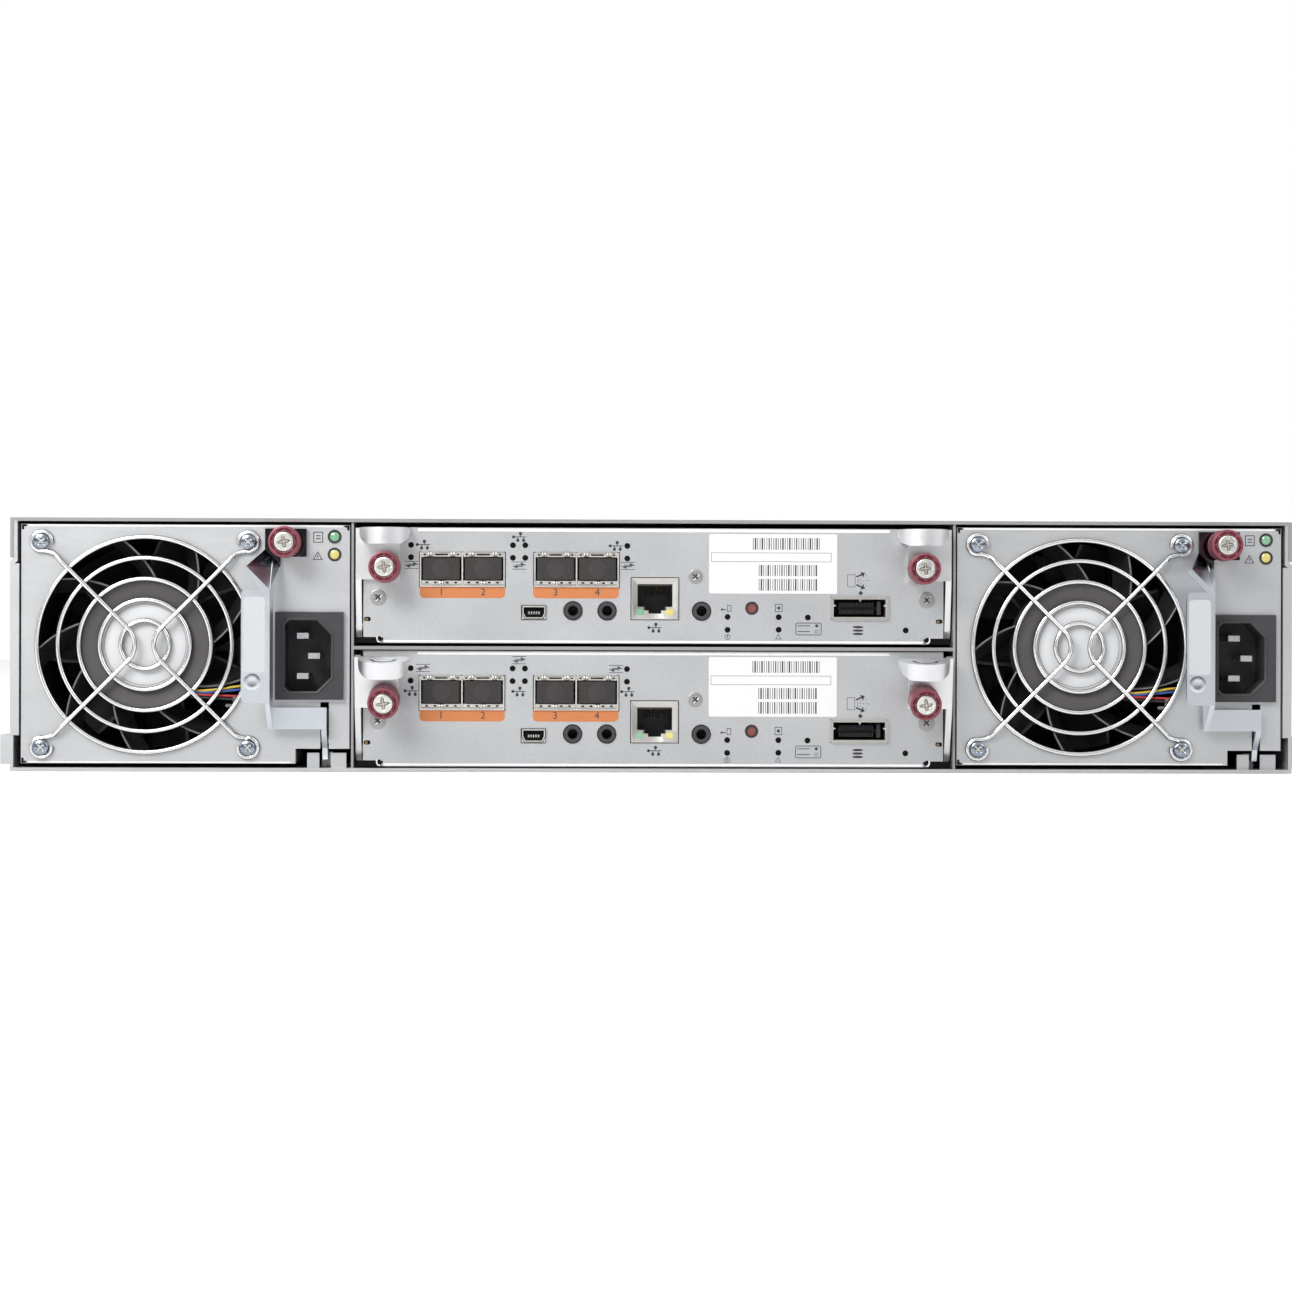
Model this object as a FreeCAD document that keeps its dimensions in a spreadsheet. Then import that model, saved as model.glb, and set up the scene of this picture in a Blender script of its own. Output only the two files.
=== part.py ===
import FreeCAD, Part
import math
import os
import Sketcher
from FreeCAD import Placement, Rotation, Vector

"""Disk shelf enclosure, 2U, seen from its module end.

Frame: +X right and +Z up for someone facing the module end, which looks towards -Y.
The origin is the centre of the underside. Every length is in millimetres.
"""

doc = FreeCAD.newDocument("DiskShelf")
sheet = doc.addObject("Spreadsheet::Sheet", "Dims")

SIZES = [
    # Shell
    ("body_width", 447.0), ("body_height", 88.0), ("body_depth", 560.0),
    ("shell_gauge", 1.2), ("skirt_drop", 12.7), ("skirt_gap", 0.1), ("flange_reach", 1.9),
    ("flange_foot", 12.4), ("flange_head", 72.0), ("flange_run", 6.0),
    # Partitions, shelf and midplane
    ("wall_gauge", 0.8), ("bay_half_width", 104.6), ("shelf_height", 42.5), ("shelf_gauge", 1.2),
    ("partition_inset", 0.6), ("wall_foot_width", 8.0), ("wall_foot_inset", 30.0), ("shelf_hem", 4.0),
    ("shelf_hem_inset", 40.0), ("deck_depth", 352.0), ("board_gauge", 3.0), ("board_side_gap", 0.5),
    ("socket_height", 8.0), ("socket_reach", 9.0), ("vent_width", 34.0), ("vent_height", 8.0),
    ("socket_wall", 1.5), ("socket_slot", 2.4), ("unit_socket_width", 90.0), ("power_socket_width", 60.0),
    ("power_socket_height", 52.0), ("drive_socket_width", 42.0), ("drive_socket_reach", 7.0),
    # Drive bays
    ("cage_gauge", 1.2), ("cage_shelf_gauge", 1.0), ("cage_back_gap", 19.0), ("cage_setback", 1.0),
    ("cage_side_gap", 0.0), ("grip_margin", 5.0), ("slit_pitch", 6.0),
    ("blank_gap", 0.5), ("bezel_depth", 12.0), ("rail_gauge", 2.0), ("rail_height", 12.0),
    ("blank_back_gap", 14.0), ("grip_width", 44.0), ("grip_depth", 8.0), ("slit_width", 3.0),
    # Rack ears
    ("ear_reach", 17.8), ("ear_slot_side", 9.05), ("rack_rise", 76.2), ("ear_gauge", 2.0),
    ("ear_slot_length", 10.5), ("ear_slot_width", 6.8), ("ear_foot", 40.0), ("ear_foot_gauge", 1.6),
    ("ear_height", 87.4),
    # Rear rail stops
    ("stop_reach", 3.3), ("stop_foot", 2.3), ("stop_rise", 10.4), ("stop_run", 14.0),
    # Power modules
    ("power_centre", 162.9), ("power_width", 113.8), ("power_height", 83.0), ("power_foot", 2.7),
    ("power_back_gap", 15.0), ("power_inset", 1.0), ("power_gauge", 1.0),
    ("case_vent_width", 10.0), ("case_vent_gap", 6.0), ("case_vent_foot", 12.0), ("case_vent_rise", 20.0),
    ("case_vent_tall", 6.0), ("tongue_side_gap", 3.0), ("tongue_gap", 1.0), ("step_side", 38.2),
    ("step_rise", 5.2),
    ("fan_side", -14.0), ("fan_height", 44.0), ("fan_pitch", 71.5), ("fan_size", 80.0),
    ("fan_bore_radius", 37.8), ("fan_depth", 38.0), ("fan_hub_radius", 23.0), ("hub_depth", 12.0),
    ("vane_gauge", 1.1), ("vane_depth", 11.0), ("vane_turn", 24.0), ("vane_count", 9),
    ("rotor_radius", 36.6), ("rotor_hub_radius", 20.0), ("rotor_depth", 20.0), ("blade_gauge", 1.4),
    ("blade_count", 7), ("fan_axle_radius", 1.5), ("axle_slack", 0.06),
    ("wire_radius", 0.8), ("ring_outer", 37.4), ("ring_pitch", 7.25),
    ("rotor_gap", 1.5), ("axle_reach", 12.0), ("axle_end_gap", 1.0), ("vane_root", 0.6),
    ("blade_angle", 44.0), ("blade_root", 1.5), ("blade_margin", 1.0), ("spoke_vertex", 3.3),
    ("loop_radius", 2.9), ("face_hole_radius", 37.0),
    ("inlet_side", 43.0), ("inlet_height", 40.2), ("inlet_width", 23.6), ("inlet_tall", 30.5),
    ("inlet_flange", 2.4), ("inlet_depth", 20.0), ("inlet_hole_gap", 1.3), ("inlet_mouth_width", 16.6),
    ("inlet_mouth_tall", 25.2), ("inlet_chamfer", 5.0), ("inlet_mouth_depth", 16.0),
    ("inlet_mouth_side", -0.4), ("pin_length", 13.0), ("earth_extra", 1.5), ("pin_pitch", 14.0),
    ("pin_wide", 4.0), ("pin_thick", 2.0), ("pin_offset", 4.0),
    # Power module handle
    ("handle_gauge", 1.6), ("handle_gap", 0.3), ("pad_left", 27.6), ("pad_right", 42.0),
    ("pad_foot", 74.6), ("pad_head", 84.4), ("grip_stand", 16.0), ("grip_left", 20.8),
    ("grip_right", 30.6), ("grip_foot", 24.0), ("grip_head", 63.0), ("strap_stand", 3.0),
    ("strap_foot", 14.8), ("strap_head", 22.3), ("lever_side", 48.3), ("lever_gauge", 1.8),
    ("slot_side_gap", 0.6), ("slot_head", 24.1), ("pivot_height", 11.0), ("pivot_inset", 5.0),
    ("pivot_radius", 1.5), ("pivot_slack", 0.05), ("nose_foot", 4.1), ("nose_half", 1.6),
    ("cheek_gauge", 1.6), ("cheek_gap", 0.6), ("keeper_head", 6.4), ("keeper_inset", 2.4),
    ("nose_sweep", 9.0), ("cheek_half", 3.2), ("lever_boss", 3.0), ("neck_head", 77.1),
    ("neck_right", 33.0), ("neck_foot", 71.7),
    ("lip_left", 22.5), ("lip_head", 71.0), ("lip_foot", 62.9), ("lip_width", 1.4), ("grip_corner", 2.0),
    ("wall_slope", 0.82),
    ("keeper_side_gap", 1.1), ("keeper_left", 4.2), ("keeper_right", 5.4), ("stop_gap", 0.5),
    # Captive screws
    ("screw_side", 35.2), ("screw_height", 79.5), ("knob_radius", 5.5), ("knob_length", 9.0),
    ("cap_radius", 3.3), ("cap_rise", 0.5), ("shank_radius", 2.0), ("shank_gap", 0.3),
    ("screw_travel", 3.5), ("shank_tip", 0.3),
    # Controllers
    ("unit_width", 202.6), ("unit_height", 40.3), ("unit_foot", 1.8), ("unit_pitch", 43.0),
    ("unit_back_gap", 16.0), ("unit_inset", 2.0), ("unit_gauge", 1.0), ("corner_side", 94.4),
    ("corner_rise", 1.9), ("card_height", 6.7), ("card_gauge", 1.6), ("card_side_gap", 2.0),
    ("card_inset", 3.0),
    ("post_radius", 3.0), ("post_inset", 24.0), ("chip_size", 38.0), ("chip_rise", 9.0),
    ("mezzanine_gauge", 1.6), ("mezzanine_margin", 3.0), ("mezzanine_run", 60.0), ("tray_wall_head", 38.0),
    # Controller ports, heights above the module's underside
    ("cage_pair_width", 29.6), ("cage_tall", 12.0), ("cage_run", 48.0), ("cage_centre_a", -66.9),
    ("cage_centre_b", -27.1), ("cage_rise", 25.6), ("cage_wall", 0.5),
    ("plug_width", 12.9), ("plug_tall", 9.4), ("plug_run", 12.0), ("plug_proud", 1.2),
    ("jack_radius", 3.1), ("jack_bore", 1.75), ("jack_rise", 11.4), ("jack_a", -28.3),
    ("jack_b", -16.4), ("jack_c", 16.6), ("jack_run", 12.0), ("jack_proud", 0.6),
    ("mini_centre", -42.0), ("mini_rise", 10.7), ("mini_width", 8.2), ("mini_tall", 4.6),
    ("mini_run", 9.0), ("mini_wall", 0.4), ("net_centre", 0.3), ("net_rise", 15.7),
    ("net_width", 16.4), ("net_tall", 14.4), ("net_run", 16.0), ("net_wall", 0.5),
    ("link_centre", 71.9), ("link_rise", 12.6), ("link_width", 19.6), ("link_tall", 7.6),
    ("link_run", 20.0), ("link_wall", 0.7), ("port_gap", 0.3), ("port_proud", 0.6),
    ("net_mouth_width", 12.3), ("net_mouth_foot", 12.9), ("net_mouth_head", 20.2), ("net_key_width", 6.7),
    ("net_key_foot", 11.3), ("net_notch_width", 4.3), ("net_notch_foot", 10.2), ("net_mouth_run", 12.0),
    ("tongue_tall", 1.2), ("tongue_run", 9.0), ("tongue_margin", 2.0), ("insert_run", 4.0),
    ("switch_half", 3.6), ("button_end_gap", 1.1), ("switch_run", 9.0), ("button_fit", 0.06),
    ("button_centre", 34.2), ("button_rise", 12.5), ("button_radius", 1.6), ("button_gap", 0.35),
    ("button_run", 6.0), ("button_sink", 0.4), ("button_travel", 1.5),
    # Controller latches
    ("latch_gauge", 1.5), ("latch_side_gap", 0.6), ("latch_side_gauge", 2.0), ("latch_gap", 0.4),
    ("latch_inner", 88.6), ("latch_foot", 22.1), ("latch_head", 40.0), ("scoop_half", 8.8),
    ("scoop_reach", 11.0), ("scoop_drop", 5.8), ("scoop_corner", 4.2), ("latch_pivot_rise", 6.0),
    ("latch_pivot_inset", 5.0),
    ("latch_pivot_radius", 1.6), ("latch_nose_drop", 4.4), ("latch_screw_side", 93.4),
    ("latch_screw_rise", 26.2), ("latch_rest_angle", 11.0), ("latch_boss", 2.9), ("latch_back", 4.0),
    ("scoop_gauge", 1.4),
    ("scoop_centre", 93.7), ("stud_reach", 2.9), ("tab_gap", 0.8), ("tab_gauge", 1.2),
    ("tab_rise", 5.0), ("tab_reach", 2.4), ("latch_nose_half", 1.6),
]

for row, (alias, value) in enumerate(SIZES, start=1):
    sheet.set(f"A{row}", alias)
    sheet.set(f"B{row}", str(value))
    sheet.setAlias(f"B{row}", alias)
doc.recompute()


class Length:
    """A size that knows both its value and the formula that drives it."""

    def __init__(self, value, formula):
        self.value = float(value)
        self.formula = formula

    @staticmethod
    def of(other):
        return other if isinstance(other, Length) else Length(other, repr(float(other)))

    def joined(self, other, sign, value):
        return Length(value, f"({self.formula} {sign} {other.formula})")

    def __add__(self, other):
        other = Length.of(other)
        return self.joined(other, "+", self.value + other.value)

    def __sub__(self, other):
        other = Length.of(other)
        return self.joined(other, "-", self.value - other.value)

    def __mul__(self, other):
        other = Length.of(other)
        return self.joined(other, "*", self.value * other.value)

    def __truediv__(self, other):
        other = Length.of(other)
        return self.joined(other, "/", self.value / other.value)

    def __radd__(self, other):
        return Length.of(other) + self

    def __rsub__(self, other):
        return Length.of(other) - self

    def __rmul__(self, other):
        return Length.of(other) * self

    def __neg__(self):
        return Length(-self.value, f"(0 - {self.formula})")

    def __float__(self):
        return self.value


class Sizes:
    """The sheet's cells by name: SZ.body_width is a Length bound to that cell."""

    def __getattr__(self, alias):
        return Length(sheet.get(alias), f"Dims.{alias}")


SZ = Sizes()


def bind(thing, prop, length):
    thing.setExpression(prop, Length.of(length).formula)


def place(thing, x=0, y=0, z=0):
    """Bind an object's position to lengths."""
    for axis, length in zip("xyz", (x, y, z)):
        bind(thing, f".Placement.Base.{axis}", length)
    return thing


def block(name, x, y, z):
    """A box between three pairs of lengths."""
    box = doc.addObject("Part::Box", name)
    for prop, (low, high) in zip(("Length", "Width", "Height"), (x, y, z)):
        bind(box, prop, Length.of(high) - low)
    return place(box, x[0], y[0], z[0])


TURNS = {
    "x": Rotation(Vector(0, 1, 0), 90),
    "y": Rotation(Vector(1, 0, 0), -90),
    "z": Rotation(),
}


def rod(name, axis, radius, length, x, y, z):
    """A cylinder that starts at a point and runs along one positive axis."""
    cylinder = doc.addObject("Part::Cylinder", name)
    bind(cylinder, "Radius", radius)
    bind(cylinder, "Height", length)
    cylinder.Placement = Placement(Vector(), TURNS[axis])
    return place(cylinder, x, y, z)


def fuse(name, *pieces):
    """One solid from pieces that touch or overlap."""
    joined = doc.addObject("Part::MultiFuse", name)
    joined.Shapes = list(pieces)
    joined.Refine = True
    return joined


def cut(name, base, *tools):
    """A base with every tool taken out of it."""
    tool = tools[0] if len(tools) == 1 else fuse(f"{name}_tools", *tools)
    result = doc.addObject("Part::Cut", name)
    result.Base = base
    result.Tool = tool
    result.Refine = True
    return result


def group(name, *pieces):
    """Separate solids that share one node."""
    held = doc.addObject("Part::Compound", name)
    held.Links = list(pieces)
    return held


def feature(name, shape):
    """An object whose shape is set from the sheet's sizes."""
    made = doc.addObject("Part::Feature", name)
    made.Shape = shape
    return made


def pad(name, role, corners, length, x=0, y=0, z=0):
    """A pad of a closed outline whose corners are pairs of lengths.

    role names the origin plane. XY_Plane pads towards +Z and YZ_Plane towards +X. XZ_Plane pads
    towards -Y, so its body is placed at the pad's far side.
    """
    body = doc.addObject("PartDesign::Body", name)
    outline = body.newObject("Sketcher::SketchObject", f"{name}_outline")
    plane = next(item for item in body.Origin.OriginFeatures if item.Role == role)
    outline.AttachmentSupport = [(plane, "")]
    outline.MapMode = "FlatFace"
    corners = [(Length.of(u), Length.of(v)) for u, v in corners]
    points = [Vector(u.value, v.value, 0) for u, v in corners]
    for start, end in zip(points, points[1:] + points[:1]):
        outline.addGeometry(Part.LineSegment(start, end), False)
    for index in range(len(corners)):
        following = (index + 1) % len(corners)
        outline.addConstraint(Sketcher.Constraint("Coincident", index, 2, following, 1))
    for index, pair in enumerate(corners):
        for kind, part_of in zip("XY", pair):
            rule = Sketcher.Constraint(f"Distance{kind}", -1, 1, index, 1, part_of.value)
            number = outline.addConstraint(rule)
            outline.setExpression(f"Constraints[{number}]", part_of.formula)
    made = body.newObject("PartDesign::Pad", f"{name}_pad")
    made.Profile = outline
    bind(made, "Length", length)
    body.Tip = made
    return place(body, x, y, z)


# Shared places
REAR = -SZ.body_depth / 2
FRONT = SZ.body_depth / 2
SIDE = SZ.body_width / 2
INNER_SIDE = SIDE - SZ.shell_gauge
SKIRT_SIDE = INNER_SIDE - SZ.skirt_gap
CEILING = SZ.body_height - SZ.shell_gauge
PARTITION_OUTER = SZ.bay_half_width + SZ.wall_gauge
SHELF_TOP = SZ.shelf_height + SZ.shelf_gauge
DECK = REAR + SZ.deck_depth
DECK_FRONT = DECK + SZ.board_gauge
POWER_FACE = REAR + SZ.power_inset
UNIT_FACE = REAR + SZ.unit_inset


def mirrored(side, low, high):
    """The span from low to high on the right, or its mirror image on the left."""
    return (low, high) if side > 0 else (-high, -low)


def base_tray():
    """Floor and joggled side walls in one sheet, with rear flanges and the lever keepers."""
    g = SZ.shell_gauge
    step = CEILING - SZ.skirt_drop - g
    inner = SKIRT_SIDE - g
    section = [
        (-SIDE, 0), (SIDE, 0), (SIDE, step), (SKIRT_SIDE, step + g), (SKIRT_SIDE, CEILING),
        (inner, CEILING), (inner, step), (INNER_SIDE, step - g), (INNER_SIDE, g), (-INNER_SIDE, g),
        (-INNER_SIDE, step - g), (-inner, step), (-inner, CEILING), (-SKIRT_SIDE, CEILING),
        (-SKIRT_SIDE, step + g), (-SIDE, step),
    ]
    pieces = [pad("tray_sheet", "XZ_Plane", section, SZ.body_depth, y=FRONT)]
    for side in (-1, 1):
        span = mirrored(side, INNER_SIDE - SZ.flange_reach, INNER_SIDE)
        pieces.append(block(f"tray_flange_{side + 1}", span, (REAR, REAR + SZ.flange_run),
                            (SZ.flange_foot, SZ.flange_head)))
        arm = side * SZ.power_centre + SZ.lever_side
        near = SZ.lever_gauge / 2 + SZ.keeper_side_gap
        rise = (SZ.shell_gauge, SZ.keeper_head)
        depth = (POWER_FACE + SZ.keeper_inset, POWER_FACE + SZ.keeper_inset + g)
        pieces.append(block(f"keeper_left_{side + 1}", (arm - near - SZ.keeper_left, arm - near),
                            depth, rise))
        pieces.append(block(f"keeper_right_{side + 1}", (arm + near, arm + near + SZ.keeper_right),
                            depth, rise))
        stop = POWER_FACE + SZ.pivot_inset + SZ.pivot_height - SZ.nose_foot + SZ.nose_half + SZ.stop_gap
        pieces.append(block(f"keeper_stop_{side + 1}", (arm - near, arm + near),
                            (stop, stop + g), rise))
    return fuse("base_tray", *pieces)


def top_cover():
    """Lid whose skirts fold down outside the tray's walls."""
    g = SZ.shell_gauge
    foot = SZ.body_height - g - SZ.skirt_drop
    section = [
        (-SIDE, foot), (-SIDE, SZ.body_height), (SIDE, SZ.body_height), (SIDE, foot),
        (INNER_SIDE, foot), (INNER_SIDE, CEILING), (-INNER_SIDE, CEILING), (-INNER_SIDE, foot),
    ]
    return pad("top_cover", "XZ_Plane", section, SZ.body_depth, y=FRONT)


def partition(side, name):
    """Upright between a power bay and the controllers, with feet and latch stop tabs."""
    wall = mirrored(side, SZ.bay_half_width, PARTITION_OUTER)
    run = (REAR + SZ.partition_inset, DECK)
    pieces = [block(f"{name}_wall", wall, run, (SZ.shell_gauge, CEILING))]
    foot = mirrored(side, PARTITION_OUTER, PARTITION_OUTER + SZ.wall_foot_width)
    foot_run = (REAR + SZ.wall_foot_inset, DECK)
    pieces.append(block(f"{name}_foot", foot, foot_run, (SZ.shell_gauge, SZ.shell_gauge + SZ.wall_gauge)))
    pieces.append(block(f"{name}_head", foot, foot_run, (CEILING - SZ.wall_gauge, CEILING)))
    start = UNIT_FACE + SZ.latch_pivot_inset + SZ.latch_nose_drop + SZ.latch_nose_half + SZ.tab_gap
    tab = mirrored(side, SZ.bay_half_width - SZ.tab_reach, SZ.bay_half_width)
    for level in (0, 1):
        foot = SZ.unit_foot + SZ.unit_pitch * level
        pieces.append(block(f"{name}_tab_{level}", tab, (start, start + SZ.tab_gauge),
                            (foot, foot + SZ.tab_rise)))
    return fuse(name, *pieces)


def controller_shelf():
    """Shelf that carries the upper controller, hemmed at both partitions."""
    span = (-SZ.bay_half_width, SZ.bay_half_width)
    pieces = [block("shelf_sheet", span, (REAR + SZ.partition_inset, DECK), (SZ.shelf_height, SHELF_TOP))]
    for side in (-1, 1):
        hem = mirrored(side, SZ.bay_half_width - SZ.shelf_gauge, SZ.bay_half_width)
        pieces.append(block(f"shelf_hem_{side + 1}", hem, (REAR + SZ.shelf_hem_inset, DECK),
                            (SZ.shelf_height - SZ.shelf_hem, SZ.shelf_height)))
    return fuse("controller_shelf", *pieces)


VENT_COLUMNS = 6
VENT_ROWS = 2
RING_COUNT = 5
BAY_COLUMNS = 4
BAY_ROWS = 3
BEZEL_SLITS = 4
CAGE_HALF = SKIRT_SIDE - SZ.shell_gauge - SZ.cage_side_gap
BAY_WIDTH = (CAGE_HALF * 2 - (BAY_COLUMNS + 1) * SZ.cage_gauge) / BAY_COLUMNS
BAY_HEIGHT = (CEILING - SZ.shell_gauge - (BAY_ROWS + 1) * SZ.cage_shelf_gauge) / BAY_ROWS
CAGE_FRONT = FRONT - SZ.cage_setback
CAGE_BACK = DECK + SZ.board_gauge + SZ.cage_back_gap


def bay_left(column):
    return -CAGE_HALF + SZ.cage_gauge + column * (BAY_WIDTH + SZ.cage_gauge)


def bay_foot(row):
    return SZ.shell_gauge + SZ.cage_shelf_gauge + row * (BAY_HEIGHT + SZ.cage_shelf_gauge)


def drive_cage():
    """Open grid of upright and level sheets that divides the front into drive bays."""
    run = (CAGE_BACK, CAGE_FRONT)
    pieces = []
    for column in range(BAY_COLUMNS + 1):
        left = bay_left(column) - SZ.cage_gauge
        pieces.append(block(f"cage_wall_{column}", (left, left + SZ.cage_gauge), run,
                            (SZ.shell_gauge, CEILING)))
    for row in range(BAY_ROWS + 1):
        top = bay_foot(row)
        pieces.append(block(f"cage_deck_{row}", (-CAGE_HALF, CAGE_HALF), run,
                            (top - SZ.cage_shelf_gauge, top)))
    return fuse("drive_cage", *pieces)


def bay_blank(column, row, name):
    """Filler for an empty bay: slotted bezel with a finger grip, two rails and a cross bar."""
    gap = SZ.blank_gap
    left = bay_left(column) + gap
    right = bay_left(column) + BAY_WIDTH - gap
    foot = bay_foot(row) + gap
    head = bay_foot(row) + BAY_HEIGHT - gap
    back = CAGE_BACK + SZ.blank_back_gap
    bezel = block(f"{name}_bezel", (left, right), (FRONT - SZ.bezel_depth, FRONT), (foot, head))
    rails = []
    for label, edge in (("left", left), ("right", right - SZ.rail_gauge)):
        rails.append(block(f"{name}_rail_{label}", (edge, edge + SZ.rail_gauge),
                           (back, FRONT - SZ.bezel_depth), (foot, foot + SZ.rail_height)))
    bar = block(f"{name}_bar", (left, right), (back, back + SZ.rail_gauge), (foot, foot + SZ.rail_height))
    middle = (left + right) / 2
    tools = [block(f"{name}_grip", (middle - SZ.grip_width / 2, middle + SZ.grip_width / 2),
                   (FRONT - SZ.grip_depth, FRONT), (foot + SZ.grip_margin, head - SZ.grip_margin))]
    for side in (-1, 1):
        for index in range(BEZEL_SLITS):
            centre = middle + side * (SZ.grip_width / 2 + SZ.slit_pitch * (index + 1))
            tools.append(block(f"{name}_slit_{side + 1}_{index}",
                               (centre - SZ.slit_width / 2, centre + SZ.slit_width / 2),
                               (FRONT - SZ.bezel_depth, FRONT),
                               (foot + SZ.grip_margin, head - SZ.grip_margin)))
    return cut(name, fuse(f"{name}_body", bezel, bar, *rails), *tools)


def midplane_board():
    """Upright circuit board across the shell, with air windows between its sockets."""
    half = SKIRT_SIDE - SZ.shell_gauge - SZ.board_side_gap
    board = block("board_panel", (-half, half), (DECK, DECK_FRONT), (SZ.shell_gauge, CEILING))
    windows = []
    for index, centre in enumerate((-SZ.power_centre, -SZ.unit_width / 4, SZ.unit_width / 4,
                                    SZ.power_centre)):
        for row in (0, 1):
            middle = bay_foot(row + 1) - SZ.cage_shelf_gauge / 2
            windows.append(block(f"board_window_{index}_{row}",
                                 (centre - SZ.vent_width / 2, centre + SZ.vent_width / 2),
                                 (DECK, DECK_FRONT),
                                 (middle - SZ.vent_height / 2, middle + SZ.vent_height / 2)))
    return cut("midplane_board", board, *windows)


def socket(name, centre, width, height, face, reach):
    """A slotted card socket that stands off one face of the midplane."""
    run = (face, face + reach) if float(reach) > 0 else (face + reach, face)
    shell = block(f"{name}_shell", (centre - width / 2, centre + width / 2), run,
                  (height - SZ.socket_height / 2, height + SZ.socket_height / 2))
    slot = block(f"{name}_slot", (centre - width / 2 + SZ.socket_wall, centre + width / 2 - SZ.socket_wall),
                 (run[0] + SZ.socket_wall, run[1]) if float(reach) > 0 else (run[0], run[1] - SZ.socket_wall),
                 (height - SZ.socket_slot / 2, height + SZ.socket_slot / 2))
    return cut(name, shell, slot)


def midplane_sockets():
    """Sockets for the modules behind the midplane and for the drives in front of it."""
    pieces = []
    for level in (0, 1):
        height = SZ.unit_foot + SZ.unit_pitch * level + SZ.card_height + SZ.card_gauge / 2
        pieces.append(socket(f"unit_socket_{level}", Length.of(0), SZ.unit_socket_width, height, DECK,
                             -SZ.socket_reach))
    for side in (-1, 1):
        pieces.append(socket(f"power_socket_{side + 1}", side * SZ.power_centre, SZ.power_socket_width,
                             SZ.power_socket_height, DECK, -SZ.socket_reach))
    for column in range(BAY_COLUMNS):
        for row in range(BAY_ROWS):
            pieces.append(socket(f"drive_socket_{column}_{row}", bay_left(column) + BAY_WIDTH / 2,
                                 SZ.drive_socket_width, bay_foot(row) + SZ.socket_height, DECK_FRONT,
                                 SZ.drive_socket_reach))
    return group("midplane_sockets", *pieces)


def rack_ears():
    """The pair of mirrored rack brackets."""
    return group("rack_ears", rack_ear(-1, "ear_left"), rack_ear(1, "ear_right"))


def rack_ear(side, name):
    """Angle bracket: a slotted plate in front of the rack rail and a foot on the side wall."""
    plate = block(f"{name}_plate", mirrored(side, SIDE, SIDE + SZ.ear_reach), (FRONT - SZ.ear_gauge, FRONT),
                  (0, SZ.ear_height))
    foot = block(f"{name}_foot", mirrored(side, SIDE, SIDE + SZ.ear_foot_gauge),
                 (FRONT - SZ.ear_foot, FRONT - SZ.ear_gauge), (0, SZ.ear_height))
    slots = []
    middle = SZ.ear_height / 2
    radius = SZ.ear_slot_width / 2
    centre = side * (SIDE + SZ.ear_slot_side)
    half = SZ.ear_slot_length / 2 - radius
    for level in (-1, 1):
        height = middle + level * SZ.rack_rise / 2
        where = (FRONT - SZ.ear_gauge, FRONT)
        slots.append(block(f"{name}_slot_{level + 1}", (centre - half, centre + half), where,
                           (height - radius, height + radius)))
        for end in (-1, 1):
            slots.append(rod(f"{name}_end_{level + 1}_{end + 1}", "y", radius, SZ.ear_gauge,
                             centre + end * half, FRONT - SZ.ear_gauge, height))
    return cut(name, fuse(f"{name}_angle", plate, foot), *slots)


def rail_stops():
    """Small hooks low on both side walls at the module end, for the rack rails."""
    pieces = []
    for side in (-1, 1):
        outer = mirrored(side, SIDE, SIDE + SZ.stop_reach)
        pieces.append(block(f"stop_{side + 1}", outer, (REAR, REAR + SZ.stop_run),
                            (SZ.stop_foot, SZ.stop_foot + SZ.stop_rise)))
    return group("rail_stops", *pieces)


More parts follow.
